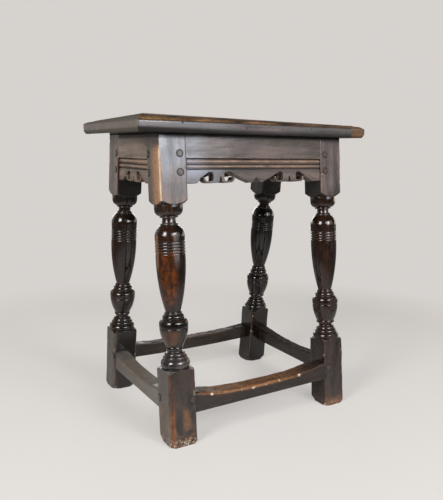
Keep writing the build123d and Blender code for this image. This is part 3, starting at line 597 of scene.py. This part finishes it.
    # The back legs' inner faces take the turned parts' darker colour as painted shade.
    marks = {"worn": worn * (1 - 0.8 * inner_face), "shade_and_grime": shade_and_grime, "bare_and_glint": bare_and_glint, "red": red,
             "dull": dull, "haze_and_sheen": haze_and_sheen, "painted_sheen": painted_sheen,
             "turned": np.maximum(turning * (1 - shoulder), inner_face * (side > 0))}
    return {key: np.clip(value, 0, 1) for key, value in marks.items()}


def from_peg(points, which):
    """Distance in millimetres from the middle of the nearest peg end, over the two outer
    faces that show pegs, and far away elsewhere. On the long faces heights run up the
    leaning leg, and on the short ones straight up."""
    side, end = which
    lean, depth = leg_axes(side)
    foot = foot_half[which]
    offset = points - np.array([end * leg_spacing, side * floor_half, 0])
    across, along, deep = offset[..., 0], offset @ lean, offset @ depth
    nearest = np.full(points.shape[:2], 30.0)
    for height, inset, half in ((leg_length - peg_high, -13.0, half_leg),
                                (leg_length - peg_low, -13.0, half_leg), (peg_foot, 8.5 - foot, foot)):
        away = np.hypot(across - end * inset, along - height)
        nearest = np.where(deep * side > half - 2, np.minimum(nearest, away), nearest)
    short_inset = (6.5 if side < 0 else 12.0) - half_leg
    for height, inset, half in ((frame_height - peg_high, short_inset, half_leg),
                                (frame_height - peg_low, short_inset, half_leg),
                                (peg_foot, 8.5 - foot, foot)):
        away = np.hypot(points[..., 1] - side * leg_line(height, inset), points[..., 2] - height)
        nearest = np.where(across * end > half - 2, np.minimum(nearest, away), nearest)
    return nearest


for which in leg_names:
    leg(which)


# ---------------------------------------------------------------- seat board
half_board, half_width = 238.0, 135.025
border, border_step = 17.0, 2.0          # width of the moulded border, and its step at the top
nose_height, nose_swell = 17.5, 2.1      # of the border's arc, above the underside
right_nose_height, right_nose_swell = 8.5, 4.6
last_inset = 60.0                        # rings keep to the edge this far in, then shrink
underside, lower_edge, nose_edge, upper_face = 0, 1, 2, 3   # kinds of ring, from below up
border_insets = (0.0, 0.25, 0.7, 1.4, 2.4, 3.8, 5.5, 7.5, 9.5, 11.5, 13.5, 15.2, 16.3, 16.85, 17.05,
                 17.2, 17.35, 17.55, 18.2, 20, 24, 30, 40, 50, 60)


def board_top(x, y):
    """The top's height is blended straight across between its four corners."""
    share = 0.5 + x / (2 * half_board)
    front = 29.4 + share * (23.1 - 29.4)
    back = 24.4 + share * (22.6 - 24.4)
    return front + (0.5 + y / (2 * half_width)) * (back - front)


def border_height(inset, top, nose, swell):
    """Height of the moulded border above the underside: an arc from the nose in to the step,
    and the flat top beyond it."""
    rise = top - border_step - nose
    chord = np.hypot(border, rise)
    radius = (chord**2 / 4 + swell**2) / (2 * swell)
    back_off = radius - swell
    centre_in = border / 2 + back_off * rise / chord
    centre_up = nose + rise / 2 - back_off * border / chord
    arc = centre_up + np.sqrt(np.maximum(radius**2 - (inset - centre_in) ** 2, 0))
    step = fade(inset, 16.9, 17.5)
    return arc * (1 - step) + top * step


def height_over(plan):
    """Height of the board's upper face over points of its plan: the lowest of its four
    borders, each read at its own distance in from the edge."""
    x, y = plan[..., 0], plan[..., 1]
    top = board_top(x, y)
    borders = [border_height(np.clip(away, 0, 30), top, nose, swell) for away, nose, swell in (
        (half_width + y, nose_height, nose_swell), (half_width - y, nose_height, nose_swell),
        (half_board + x, nose_height, nose_swell), (half_board - x, right_nose_height, right_nose_swell))]
    return np.min(borders, axis=0)


def board_loop(inset):
    """A ring of the board's plan, this far in from its edge: a rectangle with rounded corners,
    whose radius falls off exponentially inwards. It runs round from the right end."""
    long_run = np.linspace(-1, 1, 150)
    short_run = np.linspace(-1, 1, 86)
    quarter = np.linspace(0, np.pi / 2, 9)[1:-1]
    r = 3.4 * math.exp(-inset / 7) + 0.4
    x, y = half_board - inset - r, half_width - inset - r
    cos, sin = r * np.cos(quarter), r * np.sin(quarter)
    return np.vstack([
        np.stack([np.full_like(short_run, x + r), short_run * y], -1), np.stack([x + cos, y + sin], -1),
        np.stack([-long_run * x, np.full_like(long_run, y + r)], -1), np.stack([-x - sin, y + cos], -1),
        np.stack([np.full_like(short_run, -x - r), -short_run * y], -1), np.stack([-x - cos, -y - sin], -1),
        np.stack([long_run * x, np.full_like(long_run, -y - r)], -1), np.stack([x + sin, -y - cos], -1),
    ])


def seat_board():
    """The board as rings round its plan, from the middle of the underside out, up the edge
    and in over the top, where its height is the lowest of the four borders there."""
    outline, inner = board_loop(0.0), board_loop(last_inset)
    rings, insets, kinds = [], [], []

    def ring(plan, height, inset, kind):
        rings.append(np.column_stack([plan, np.broadcast_to(height, len(plan))]))
        insets.append(inset)
        kinds.append(kind)

    for share in (0.04, 0.3, 0.6, 0.85, 1.0):
        ring(inner * share, 0.0, last_inset + 70 * (1 - share), underside)
    for inset in (40, 25, 15, 10):
        ring(board_loop(inset), 0.0, inset, underside)
    # The lower arris is rounded further toward the left end, and most at the right end.
    at_right = fade(outline[:, 0], half_board - 14, half_board - 1)
    lower_round = 1.6 + 4.4 * np.clip((-20 - outline[:, 0]) / (half_board - 20), 0, 1) + 6.2 * at_right
    inner_corner = np.array([half_board - 3.8, half_width - 3.8])
    away = outline - np.clip(outline, -inner_corner, inner_corner)
    away = away / np.maximum(np.linalg.norm(away, axis=1, keepdims=True), 1e-6)
    for share in (1.0, 0.8, 0.6, 0.4, 0.2, 0.0):
        ring(outline - away * (lower_round * share)[:, None],
             lower_round * (1 - share) ** (1.6 + 1.1 * at_right), 0.5, lower_edge)
    fullest = np.where(outline[:, 0] > half_board - 1.5, right_nose_height, nose_height)
    edge_top = np.minimum(height_over(outline), fullest)
    for share in (0.25, 0.5, 0.75):
        ring(outline, lower_round + (edge_top - lower_round) * share, 0.0, nose_edge)
    for inset in border_insets:
        plan = board_loop(inset)
        ring(plan, height_over(plan), inset, upper_face)
    for share in (0.92, 0.82, 0.7, 0.56, 0.4, 0.22, 0.08):
        ring(inner * share, height_over(inner * share), last_inset + 70 * (1 - share), upper_face)

    points = np.array(rings)
    inset = np.array(insets)[:, None] * np.ones(points.shape[1])
    kind = np.array(kinds)[:, None] * np.ones(points.shape[1])
    on_top = kind == upper_face
    chip = fade(ripple(points, (9, 9, 30), 25), 1.0, 1.5) * near(inset, 17.6, 1.4, 0.3) * on_top
    points[..., 2] -= 0.7 * chip
    points[..., 2] -= on_top * fade(inset, 17, 40) * (0.35 + 0.35 * ripple(points, (90, 90, 90), 27))
    points[..., 2] += frame_height
    skin("moulded_seat_board", points, seat_oak, "seat_top",
         board_marks(points, inset, kind, on_top, chip))


def board_marks(points, inset, kind, on_top, chip):
    """Wear and painted light of the board. The border is rubbed in streaks and most along its
    step, with painted shade in the quirk; the left end is dull, the right end and the front's
    last stretch are worn to gold, and the underside, the lower part of the nose and the low part
    of the worn right end are darkened as painted shade. The nose is hazy with painted sheen."""
    x, y, z = np.moveaxis(points, -1, 0)
    outside = kind > underside
    on_nose = kind == nose_edge
    streak = ripple(points, (60, 16, 16), 29)
    from_left = half_board + x
    left_end = fade(half_width - np.abs(y) - from_left, -1.0, 1.0) * (from_left < 17.2)
    right_end = fade(x, half_board - 17, half_board - 16) * (inset < 17.2)
    golden = fade(x, half_board - 38, half_board - 34) * fade(y, -half_width + 30, -half_width + 10)
    right_wear = np.maximum(right_end, golden * (inset < 6)) * outside
    worn = within(inset, 0.3, 1.5, 16, 17.5) * on_top * (0.29 + 0.42 * streak)
    worn = np.maximum(worn, 0.75 * near(inset, 17.5, 0.8, 0.2) * on_top * (0.6 + 0.4 * streak))
    worn = worn * (1 - 0.9 * left_end)
    worn = np.maximum(worn, 0.46 * right_wear * (0.8 + 0.5 * streak))
    # Painted shade in the step's quirk, on the underside and over the lower part of the nose, and darker low
    # on the worn right end.
    shade_and_grime = 0.9 * near(inset, 16.9, 0.7, 0.1) * on_top + 0.6 * (kind == underside)
    shade_and_grime += (0.85 * fade(z, frame_height + 10.5, frame_height + 7.0) * outside
              * (1 - left_end) * (1 - right_end) * (1 - golden))
    shade_and_grime += 0.4 * fade(z, frame_height + 9, frame_height + 1) * right_wear
    # The nose is hazy with painted sheen, with blue painted sheen toward the left.
    marks = {"worn": worn, "shade_and_grime": shade_and_grime, "bare_and_glint": 0.7 * chip, "dull": 0.54 * left_end * outside,
             "red": 0.1 * right_wear, "turned": 0.5 * right_wear,
             "haze_and_sheen": (0.62 + 0.3 * near(x, 30, 130, 40)) * on_nose * (1 - golden),
             "painted_sheen": 0.08 * on_nose * fade(x, 20, -60) * (1 - left_end)}
    return {key: np.clip(value, 0, 1) for key, value in marks.items()}


seat_board()


# ---------------------------------------------------------------- stretchers
stretcher_forms = {
    # Each has two ends: left and right, or front and back. Name: (axis, side of the stool,
    # height of the lower edge, belly below it, thickness, depth of the hollow where the
    # falling runs end, length of those runs, sag between them, rise of the top inward)
    "front": ("X", -1, (50.2, 53.0), 0.0, 28.0, (10.3, 12.3), (44.0, 73.0), 2.5, 5.0),
    "back": ("X", 1, (56.5, 56.5), 3.0, 23.0, (5.5, 5.5), (42.0, 42.0), 2.0, 1.0),
    "left": ("Y", -1, (52.0, 48.8), 0.0, 25.0, (9.0, 9.0), (36.0, 36.0), 3.0, 5.0),
    "right": ("Y", 1, (53.0, 53.0), 0.0, 23.0, (6.0, 6.0), (37.0, 37.0), 4.2, 1.0),
}
stretcher_wear = {"front": 0.72, "back": 0.12, "left": 0.2, "right": 0.0}
stretcher_top, stretcher_face = 86.5, 22.5
into_foot = 3.0
end_wear = 1.5


def rounded_section(out, up, faces, levels, radii):
    """A four-sided section with eased arrises: points within a radius of a corner move onto
    an arc about its centre. Corners are (0 outer or 1 inner, 0 lower or 1 upper)."""
    for (inner, upper), radius in radii.items():
        way_out, way_up = 1 - 2 * inner, 2 * upper - 1
        centre_out, centre_up = faces[inner] - way_out * radius, levels[upper] - way_up * radius
        along_out, along_up = (out - centre_out) * way_out, (up - centre_up) * way_up
        hit = (along_out > 0) & (along_up > 0)
        length = np.maximum(np.hypot(along_out, along_up), 1e-6)
        out = np.where(hit, centre_out + way_out * along_out / length * radius, out)
        up = np.where(hit, centre_up + way_up * along_up / length * radius, up)
    return out, up


def stretcher(name):
    """A stretcher as sections carried between the feet: a rounded four-sided section whose
    top falls into a worn hollow, steep at both ends and sagging between, and rises inward."""
    axis, side, bottoms, belly, thickness, wears, runs, sag, tilt = stretcher_forms[name]
    long_rail = axis == "X"
    if long_rail:
        first = -(leg_spacing - foot_half[(side, -1)])
        last = leg_spacing - foot_half[(side, 1)]
    else:
        first = -leg_line(stretcher_top, -foot_half[(-1, side)])
        last = leg_line(stretcher_top, -foot_half[(1, side)])
    station = np.linspace(first - into_foot, last + into_foot, 190)
    hollow = (first + runs[0], last - runs[1])
    fall = np.interp(station, [first, *hollow, last], [end_wear, *wears, end_wear])
    middle = np.clip((station - hollow[0]) / (hollow[1] - hollow[0]), 0, 1)
    fall = fall + 4 * sag * middle * (1 - middle)
    fall = np.convolve(np.pad(fall, 4, mode="edge"), np.ones(9) / 9, "valid")[:, None]
    share = np.clip((station - first) / (last - first), 0, 1)
    under = (bottoms[0] + share * (bottoms[1] - bottoms[0]) - 4 * belly * share * (1 - share))[:, None]

    # Round the section from the outer lower corner: 0 is outer or lower, 1 inner or upper.
    run = np.linspace(0, 1, 12, endpoint=False)
    spread = (0.35 * run + 0.65 * (0.5 - 0.5 * np.cos(np.pi * run)))[:, None]
    corner = np.array([[0, 0], [1, 0], [1, 1], [0, 1]], float)
    section = np.vstack([corner[k] + spread * (corner[(k + 1) % 4] - corner[k]) for k in range(4)])
    inward, rising = section[:, 0], section[:, 1]
    deep = np.broadcast_to(inward * thickness, (len(station), len(section)))
    top_line = np.minimum(stretcher_top - fall + tilt * deep / thickness, stretcher_top - 0.3)
    out = stretcher_face - deep
    up = under + (top_line - under) * rising
    bar_end = ripple(np.stack([station, 0 * station, 0 * station], -1), 40, 31 + len(name))[:, None]
    out, up = rounded_section(out, up, (stretcher_face, stretcher_face - thickness), (under, top_line),
                              {(0, 1): 3.0 + 0.9 * bar_end, (1, 1): 1.4, (0, 0): 1.6, (1, 0): 1.2})
    along = np.broadcast_to(station[:, None], out.shape)
    flat = np.stack([along, out, up], -1)
    top_edge = fade(np.hypot(out - stretcher_face, up - top_line), 5.5, 2.0)
    chip = fade(ripple(flat, (10, 12, 12), 41 + len(name)), 0.7, 1.3) * top_edge * fade(rising, 0.4, 0.7)
    out = out - 0.8 * chip
    up = up - 0.8 * chip - 0.25 * (rising == 1) * (1 + ripple(flat, (25, 14, 14), 43))
    if long_rail:
        lean, depth = leg_axes(side)
        points = (along[..., None] * np.array([1, 0, 0]) + (side * out)[..., None] * depth
                  + up[..., None] * lean + np.array([0, side * floor_half, 0]))
    else:
        inner_face = -foot_half[(-1, side)]
        widening = leg_line(0, inner_face) / leg_line(stretcher_top, inner_face) - 1
        widen = 1 + widening * (stretcher_top - up) / stretcher_top
        points = np.stack([side * (leg_spacing + out), along * widen, up], -1)

    streak = ripple(flat, (70, 9, 9), 47)
    on_top = fade(up - top_line, -3.5, -0.6)
    in_middle = fade(station, first + 6, first + 40) * fade(station, last - 20, last - 55)
    near_ends = np.maximum(fade(station, first + 7, first), fade(station, last - 7, last))[:, None]
    worn = on_top * in_middle[:, None] * (0.62 + 0.38 * streak) + 0.5 * top_edge
    if name == "front":
        worn = worn * (0.15 + 0.85 * fade(station, last - 25, last - 130))[:, None]
    # Darker toward both ends, where the stretcher runs into the feet.
    marks = {"worn": np.clip(worn * stretcher_wear[name] * (1 - near_ends), 0, 1),
             "shade_and_grime": np.broadcast_to(0.85 * near_ends, out.shape), "bare_and_glint": np.clip(0.8 * chip, 0, 1)}
    if name == "left":
        marks["dull"] = np.broadcast_to(0.65 - 0.35 * station[:, None] / last, out.shape)
    skin(f"worn_stretcher_{name}", with_caps(points, (0.95, 0.6)),
         bar_oak_long if long_rail else bar_oak_short, f"stretcher_{name}",
         capped_marks(marks, 2))


for name in stretcher_forms:
    stretcher(name)


# ---------------------------------------------------------------- friezes and pegs
frieze_depth, frieze_back, frieze_face = 85.0, 3.0, 25.0
field_out, field_top = 22.2, 22.3         # face and upper edge of the scroll-cut board
frieze_oak = {"front": long_oak, "back": long_oak, "left": short_oak, "right": short_oak}


def half_scroll(foot, wall=14.5, centre=25.0, crown=23.1, belly=()):
    """Half a scroll pair's lower edge, from the middle of its notch out to the foot of the
    long slope: the notch, the round lobe, the thin hook round an open eye, and the slope."""
    return [
        (0, 10.2, 0), (1.5, 9.3, 0.3), (2.1, 5.0, 0), (7.4, 0.5, 1.7), (centre, 0.4, 0.35),
        (centre + 8.6, 8.8, 2.5), (centre + 8.1, 10.2, 0.25), (centre + 6.3, 10.0, 0.3),
        (centre + 5.6, 8.9, 0), (centre, 3.4, -1.64), (wall + 3.6, 3.4, 0), (wall, 7.0, -1.05),
        (wall, 13.4, 0), (wall + 5.0, 18.7, -1.5), (crown, 18.9, -0.25), *belly, (foot, 0, 0.6),
    ]


def mirrored(steps):
    """The same steps seen from the other hand, taken from their far end back to the notch."""
    swells = [0] + [step[2] for step in steps[:0:-1]]
    return [(-step[0], step[1], swell) for step, swell in zip(steps[::-1], swells)]


def moved(steps, across):
    """The same steps further along."""
    return [(a + across, b, swell) for a, b, swell in steps]


def scroll_edge(name):
    """Steps of a frieze's whole lower edge from its left end to its right: one scroll pair on
    the short friezes, and two with a cleft point between on the long ones. The first pair of
    the front frieze was cut differently by hand."""
    if name in ("left", "right"):
        return mirrored(half_scroll(53.5)) + half_scroll(53.5)[1:]
    middle = -2.5 if name == "front" else 0.0
    outer, inner = half_scroll(53.5), half_scroll(61.0)
    first_outer, first_inner = outer, inner
    if name == "front":
        first_outer = half_scroll(46.5, belly=((39.5, 9.3, 0.4),))
        first_inner = half_scroll(61.0, wall=7.2, centre=19.8, crown=18.8)
    cleft = [(middle - 8.5, 0, 0.4), (middle - 0.5, 9.2, 0), (middle + 0.5, 9.2, 0), (middle + 8.5, 0, 0.0)]
    return (moved(mirrored(first_outer), middle - 74) + moved(first_inner[1:], middle - 74) + cleft
            + moved(mirrored(inner), middle + 74) + moved(outer[1:], middle + 74))


def place_frieze(name, along, out, up):
    """Points of a frieze from its own measures: along is from its middle, out from the legs'
    centre line, and up from its lower edge, up the slope of the long friezes."""
    side, end = {"front": (-1, 0), "back": (1, 0), "left": (0, -1), "right": (0, 1)}[name]
    if end:
        return np.stack([end * (leg_spacing + out), along, frame_height - frieze_depth + up], -1)
    lean, depth = leg_axes(side)
    return (along[..., None] * np.array([1.0, 0, 0]) + (side * out)[..., None] * depth
            + (leg_length - frieze_depth + up)[..., None] * lean + np.array([0, side * floor_half, 0]))


def frieze_end(name, up):
    """Half the frieze's length between shoulders at a height above its lower edge, run a
    little way into the legs."""
    if name in ("front", "back"):
        return np.full_like(up, leg_spacing - half_leg + 0.8)
    return leg_line(frame_height - frieze_depth + up, -half_leg) + 0.8


def scroll_outline(name):
    """The scroll-cut board's outline, round from the left end of its lower edge, in points
    along and up."""
    lower = arc_through(scroll_edge(name), 1.1)
    low_end, high_end = frieze_end(name, np.array([0.0, field_top]))
    end_up = np.linspace(0, 1, 14)
    right = np.stack([low_end + (high_end - low_end) * end_up, field_top * end_up], -1)
    top = np.stack([np.linspace(high_end, -high_end, 60)[1:-1], np.full(58, field_top)], -1)
    first_flat = np.linspace(-low_end, lower[0, 0], 14)[:-1]
    last_flat = np.linspace(lower[-1, 0], low_end, 14)[1:-1]
    loop = np.vstack([np.stack([first_flat, 0 * first_flat], -1), lower,
                      np.stack([last_flat, 0 * last_flat], -1), right, top, right[::-1] * np.array([-1, 1])])
    return loop[np.linalg.norm(loop - np.roll(loop, -1, 0), axis=1) > 0.02]


def scroll_board(name):
    """The scroll-cut board: its outline carried from the back to the front face in rings,
    drawn in over the last millimetre to ease the arris. Both faces are closed flat."""
    loop = scroll_outline(name)
    run = np.roll(loop, -1, 0) - np.roll(loop, 1, 0)
    outward = np.stack([run[:, 1], -run[:, 0]], -1) / np.linalg.norm(run, axis=1, keepdims=True)
    # Each ring is (distance out, drawn in, rubbed).
    rings = np.array([(frieze_back + 0.05, 0.5, 0.3), (frieze_back + 0.5, 0.05, 0.2), (8.0, 0, 0),
                      (14.0, 0, 0), (19.0, 0, 0), (field_out - 1.1, 0, 0.1), (field_out - 0.55, 0.12, 0.6),
                      (field_out - 0.2, 0.4, 0.7), (field_out, 0.85, 0.0)])
    drawn_in = loop - outward * rings[:, 1, None, None]
    out, rubbed = (np.repeat(rings[:, [column]], len(loop), 1) for column in (0, 2))
    points = place_frieze(name, drawn_in[..., 0], out, drawn_in[..., 1])
    flat = np.broadcast_to(loop, (len(points), *loop.shape))
    along, up = flat[..., 0], flat[..., 1]
    open_edge = (up < field_top - 0.5) * (np.abs(along) < frieze_end(name, up) - 1.5)
    worn = rubbed * open_edge * (0.55 + 0.45 * ripple(points, (14, 14, 9), 61 + len(name)))
    # Painted shade on the cut edges that face down.
    facing_down = fade(-outward[:, 1], 0.2, 0.9) * (rubbed < 0.15)
    # A painted reflection of the windows toward the left end of the front frieze.
    painted_sheen = 0.55 * fade(along, -55, -125) * (rubbed > 0.05) * (name == "front")
    # The front face is one flat piece, and takes its marks from the last ring.
    painted_sheen[-1] = 0.5 * fade(loop[:, 0], -55, -125) * (name == "front")
    marks = {"worn": np.clip(worn, 0, 1), "shade_and_grime": 0.35 * facing_down, "painted_sheen": painted_sheen}
    skin(f"scroll_cut_board_{name}", points, frieze_oak[name], f"frieze_{name}", marks,
         flat_ends=True)


def moulded_rail(name):
    """The moulded rail over the scrolls: the section of field, quirks and two reeds carried
    from shoulder to shoulder, with its crests worn and lightened as a painted highlight,
    painted shade in its quirks, at the shoulders and under the seat, and a painted reflection
    toward the front rail's left end."""
    short = name in ("left", "right")
    section = arc_through([
        (21.0, field_top - 0.1, 0), (21.0, 24.2, 0), (21.5, 24.4, 0), (21.5, 30.6, 1.5), (21.1, 30.9, 0),
        (21.1, 31.8, 0), (21.5, 32.1, 0), (21.5, 40.1, 1.7), (21.0, 40.4, 0), (21.0, 41.6, 0),
        (24.4, 41.8, 0), (frieze_face, 42.5, 0.25), (frieze_face, frieze_depth - 3, 0),
    ], 0.55)
    top_out = np.linspace(frieze_face, frieze_back, 12)
    if short:
        top_up = np.full(12, frieze_depth)
    else:
        top_up = (frame_height - top_out * math.sin(splay)) / math.cos(splay) - leg_length + frieze_depth
    back_up = np.linspace(top_up[-1], field_top - 0.1, 16)[1:]
    out = np.concatenate([section[:, 0], top_out, np.full(15, frieze_back)])
    up = np.concatenate([section[:, 1], top_up, back_up])
    along = np.linspace(-1, 1, 100 if short else 170)[:, None] * frieze_end(name, up)
    out, up = np.broadcast_to(out, along.shape), np.broadcast_to(up, along.shape)
    flat = np.stack([along, out, up], -1)
    face = (out > 20) * (up < frieze_depth - 2)
    out = out - 0.22 * face * (0.5 + 0.5 * ripple(flat, (34, 9, 9), 71 + len(name)))
    points = place_frieze(name, along, out, up)

    # The reeds' crests are worn, and lightened as a painted highlight.
    streak = 0.5 + 0.5 * ripple(flat, (42, 6, 5), 81 + len(name))
    crest = np.maximum(near(up, 28.0, 2.3, 0.5), near(up, 36.8, 2.7, 0.6)) * (out > 22.0)
    crest = np.maximum(crest, 0.7 * near(up, 42.3, 0.9, 0.2) * (out > 24))
    # Painted shade in the quirks, beside the shoulders and under the seat.
    quirk = near(up, 31.35, 1.0, 0.5) + near(up, 41.0, 1.0, 0.5) + near(up, 23.4, 1.2, 0.7)
    from_shoulder = frieze_end(name, up) - 0.8 - np.abs(along)
    shade_and_grime = quirk * (out < 22.2) + fade(from_shoulder, 2.2, 0.4) * (up < 42.2) * (out > 20)
    shade_and_grime = shade_and_grime + 0.95 * fade(up, frieze_depth - 11, frieze_depth - 5) * (out > 20)
    # A painted reflection of the windows toward the front rail's left end.
    marks = {"worn": np.clip(crest * (0.18 + 0.62 * streak), 0, 1), "shade_and_grime": np.clip(shade_and_grime, 0, 1),
             "painted_sheen": 0.42 * fade(along, -90, -132) * (out > 20) * (name == "front")}
    skin(f"moulded_rail_{name}", points, frieze_oak[name], f"frieze_{name}", marks)


for name in frieze_oak:
    scroll_board(name)
    moulded_rail(name)
for name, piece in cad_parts.items():
    if "pegs" in name:
        piece.data.materials.clear()
        piece.data.materials.append(peg_oak)


# ---------------------------------------------------------------- floor, light and camera
room_colour = (0.675, 0.645, 0.62)


def floor_material():
    """Pale boards underfoot that fade with distance into the colour of the room."""
    material = bpy.data.materials.new("pale_floor")
    material.use_nodes = True
    tree = material.node_tree
    surface = tree.nodes["Principled BSDF"]
    place = node(tree, "ShaderNodeTexCoord").outputs["Object"]
    surface.inputs["Base Color"].default_value = (0.66, 0.625, 0.58, 1)
    surface.inputs["Roughness"].default_value = 0.6
    away = node(tree, "ShaderNodeVectorMath", {0: place}, operation="LENGTH").outputs["Value"]
    camera_sees = node(tree, "ShaderNodeLightPath").outputs["Is Camera Ray"]
    share = between(tree, away, 0.35, 1.1)
    share = maths(tree, "MAXIMUM", share, maths(tree, "MULTIPLY", camera_sees, 0.6))
    bright = between(tree, camera_sees, 0.0, 1.0, 0.25, 1.0)
    glow = node(tree, "ShaderNodeEmission", {"Color": (*room_colour, 1), "Strength": bright}).outputs[0]
    mixed = node(tree, "ShaderNodeMixShader", {0: share, 1: surface.outputs[0], 2: glow}).outputs[0]
    tree.links.new(mixed, tree.nodes["Material Output"].inputs["Surface"])
    return material


floor_mesh = bpy.data.meshes.new("floor")
floor_mesh.from_pydata([(-9, -9, 0), (9, -9, 0), (9, 9, 0), (-9, 9, 0)], [], [(0, 1, 2, 3)])
floor = bpy.data.objects.new("floor", floor_mesh)
bpy.context.scene.collection.objects.link(floor)
floor_mesh.materials.append(floor_material())

# The room is plain and evenly bright to look at, and lights the stool softly, most from
# behind it.
world = bpy.data.worlds.new("room")
bpy.context.scene.world = world
world.use_nodes = True
tree = world.node_tree
back = tree.nodes["Background"]
rays = node(tree, "ShaderNodeLightPath")
seen = maths(tree, "MAXIMUM", rays.outputs["Is Camera Ray"], rays.outputs["Is Transmission Ray"])
back.inputs["Color"].default_value = (*room_colour, 1)
heading = node(tree, "ShaderNodeSeparateXYZ", {0: node(tree, "ShaderNodeTexCoord").outputs["Generated"]})
wall_side = between(tree, heading.outputs["Y"], -0.3, 0.7, 0.06, 0.20)
strength = node(tree, "ShaderNodeMix", {0: seen, 2: wall_side, 3: 1.0}).outputs[0]
tree.links.new(strength, back.inputs["Strength"])


def window(name, azimuth, elevation, distance, width, height, power, colour):
    """A soft rectangular light that faces the middle of the stool. Azimuth is turned from
    the front towards the right."""
    light = bpy.data.lights.new(name, "AREA")
    light.shape = "RECTANGLE"
    light.size, light.size_y = width, height
    light.energy = power
    light.color = colour
    lamp = bpy.data.objects.new(name, light)
    bpy.context.scene.collection.objects.link(lamp)
    a, e = math.radians(azimuth), math.radians(elevation)
    away = Vector((math.sin(a) * math.cos(e), -math.cos(a) * math.cos(e), math.sin(e)))
    middle = Vector((0, 0, 0.28))
    lamp.location = middle + away * distance
    lamp.rotation_euler = (-away).to_track_quat("-Z", "Y").to_euler()


window("window_right", 15, 23, 2.4, 1.2, 1.35, 33, (0.90, 0.94, 1.0))
window("window_right_middle", 13, 25, 2.36, 0.62, 0.8, 31, (0.92, 0.95, 1.0))
window("window_near_middle", -6, 27, 2.36, 0.6, 0.7, 10, (0.92, 0.95, 1.0))
window("window_far_right", 44, 22, 2.5, 1.0, 1.3, 7, (1.0, 0.95, 0.90))
window("window_left", -69, 26, 2.4, 0.8, 1.3, 40, (0.94, 0.96, 1.0))
window("window_left_middle", -64, 27, 2.36, 0.66, 0.8, 24, (0.96, 0.97, 1.0))
window("wall_light", -150, 14, 2.6, 1.8, 1.6, 4.5, (1.0, 0.93, 0.84))
window("back_light", 165, 6, 2.6, 2.0, 0.5, 14, (1.0, 0.97, 0.93))
window("side_light", 98, 5, 2.6, 2.0, 0.6, 8, (1.0, 0.84, 0.68))

camera_data = bpy.data.cameras.new("camera")
camera = bpy.data.objects.new("camera", camera_data)
bpy.context.scene.collection.objects.link(camera)
bpy.context.scene.camera = camera
yaw, pitch, roll = math.radians(30.881), math.radians(9.904), math.radians(0.831)
ahead = Vector((math.sin(yaw) * math.cos(pitch), math.cos(yaw) * math.cos(pitch), -math.sin(pitch)))
level = Vector((math.cos(yaw), -math.sin(yaw), 0))
upright = level.cross(ahead)
right = math.cos(roll) * level + math.sin(roll) * upright
above = -math.sin(roll) * level + math.cos(roll) * upright
spot = Vector((-0.58534, -0.97250, 0.49923))
camera.matrix_world = Matrix((
    (right.x, above.x, -ahead.x, spot.x),
    (right.y, above.y, -ahead.y, spot.y),
    (right.z, above.z, -ahead.z, spot.z),
    (0, 0, 0, 1),
))
picture_width, picture_height, focal_pixels = 443, 500, 573.8
camera_data.sensor_fit = "VERTICAL"
camera_data.sensor_height = 36
camera_data.sensor_width = 36 * picture_width / picture_height
camera_data.lens = focal_pixels / picture_height * 36
camera_data.clip_start = 0.01

bpy.context.scene.view_settings.view_transform = "Standard"
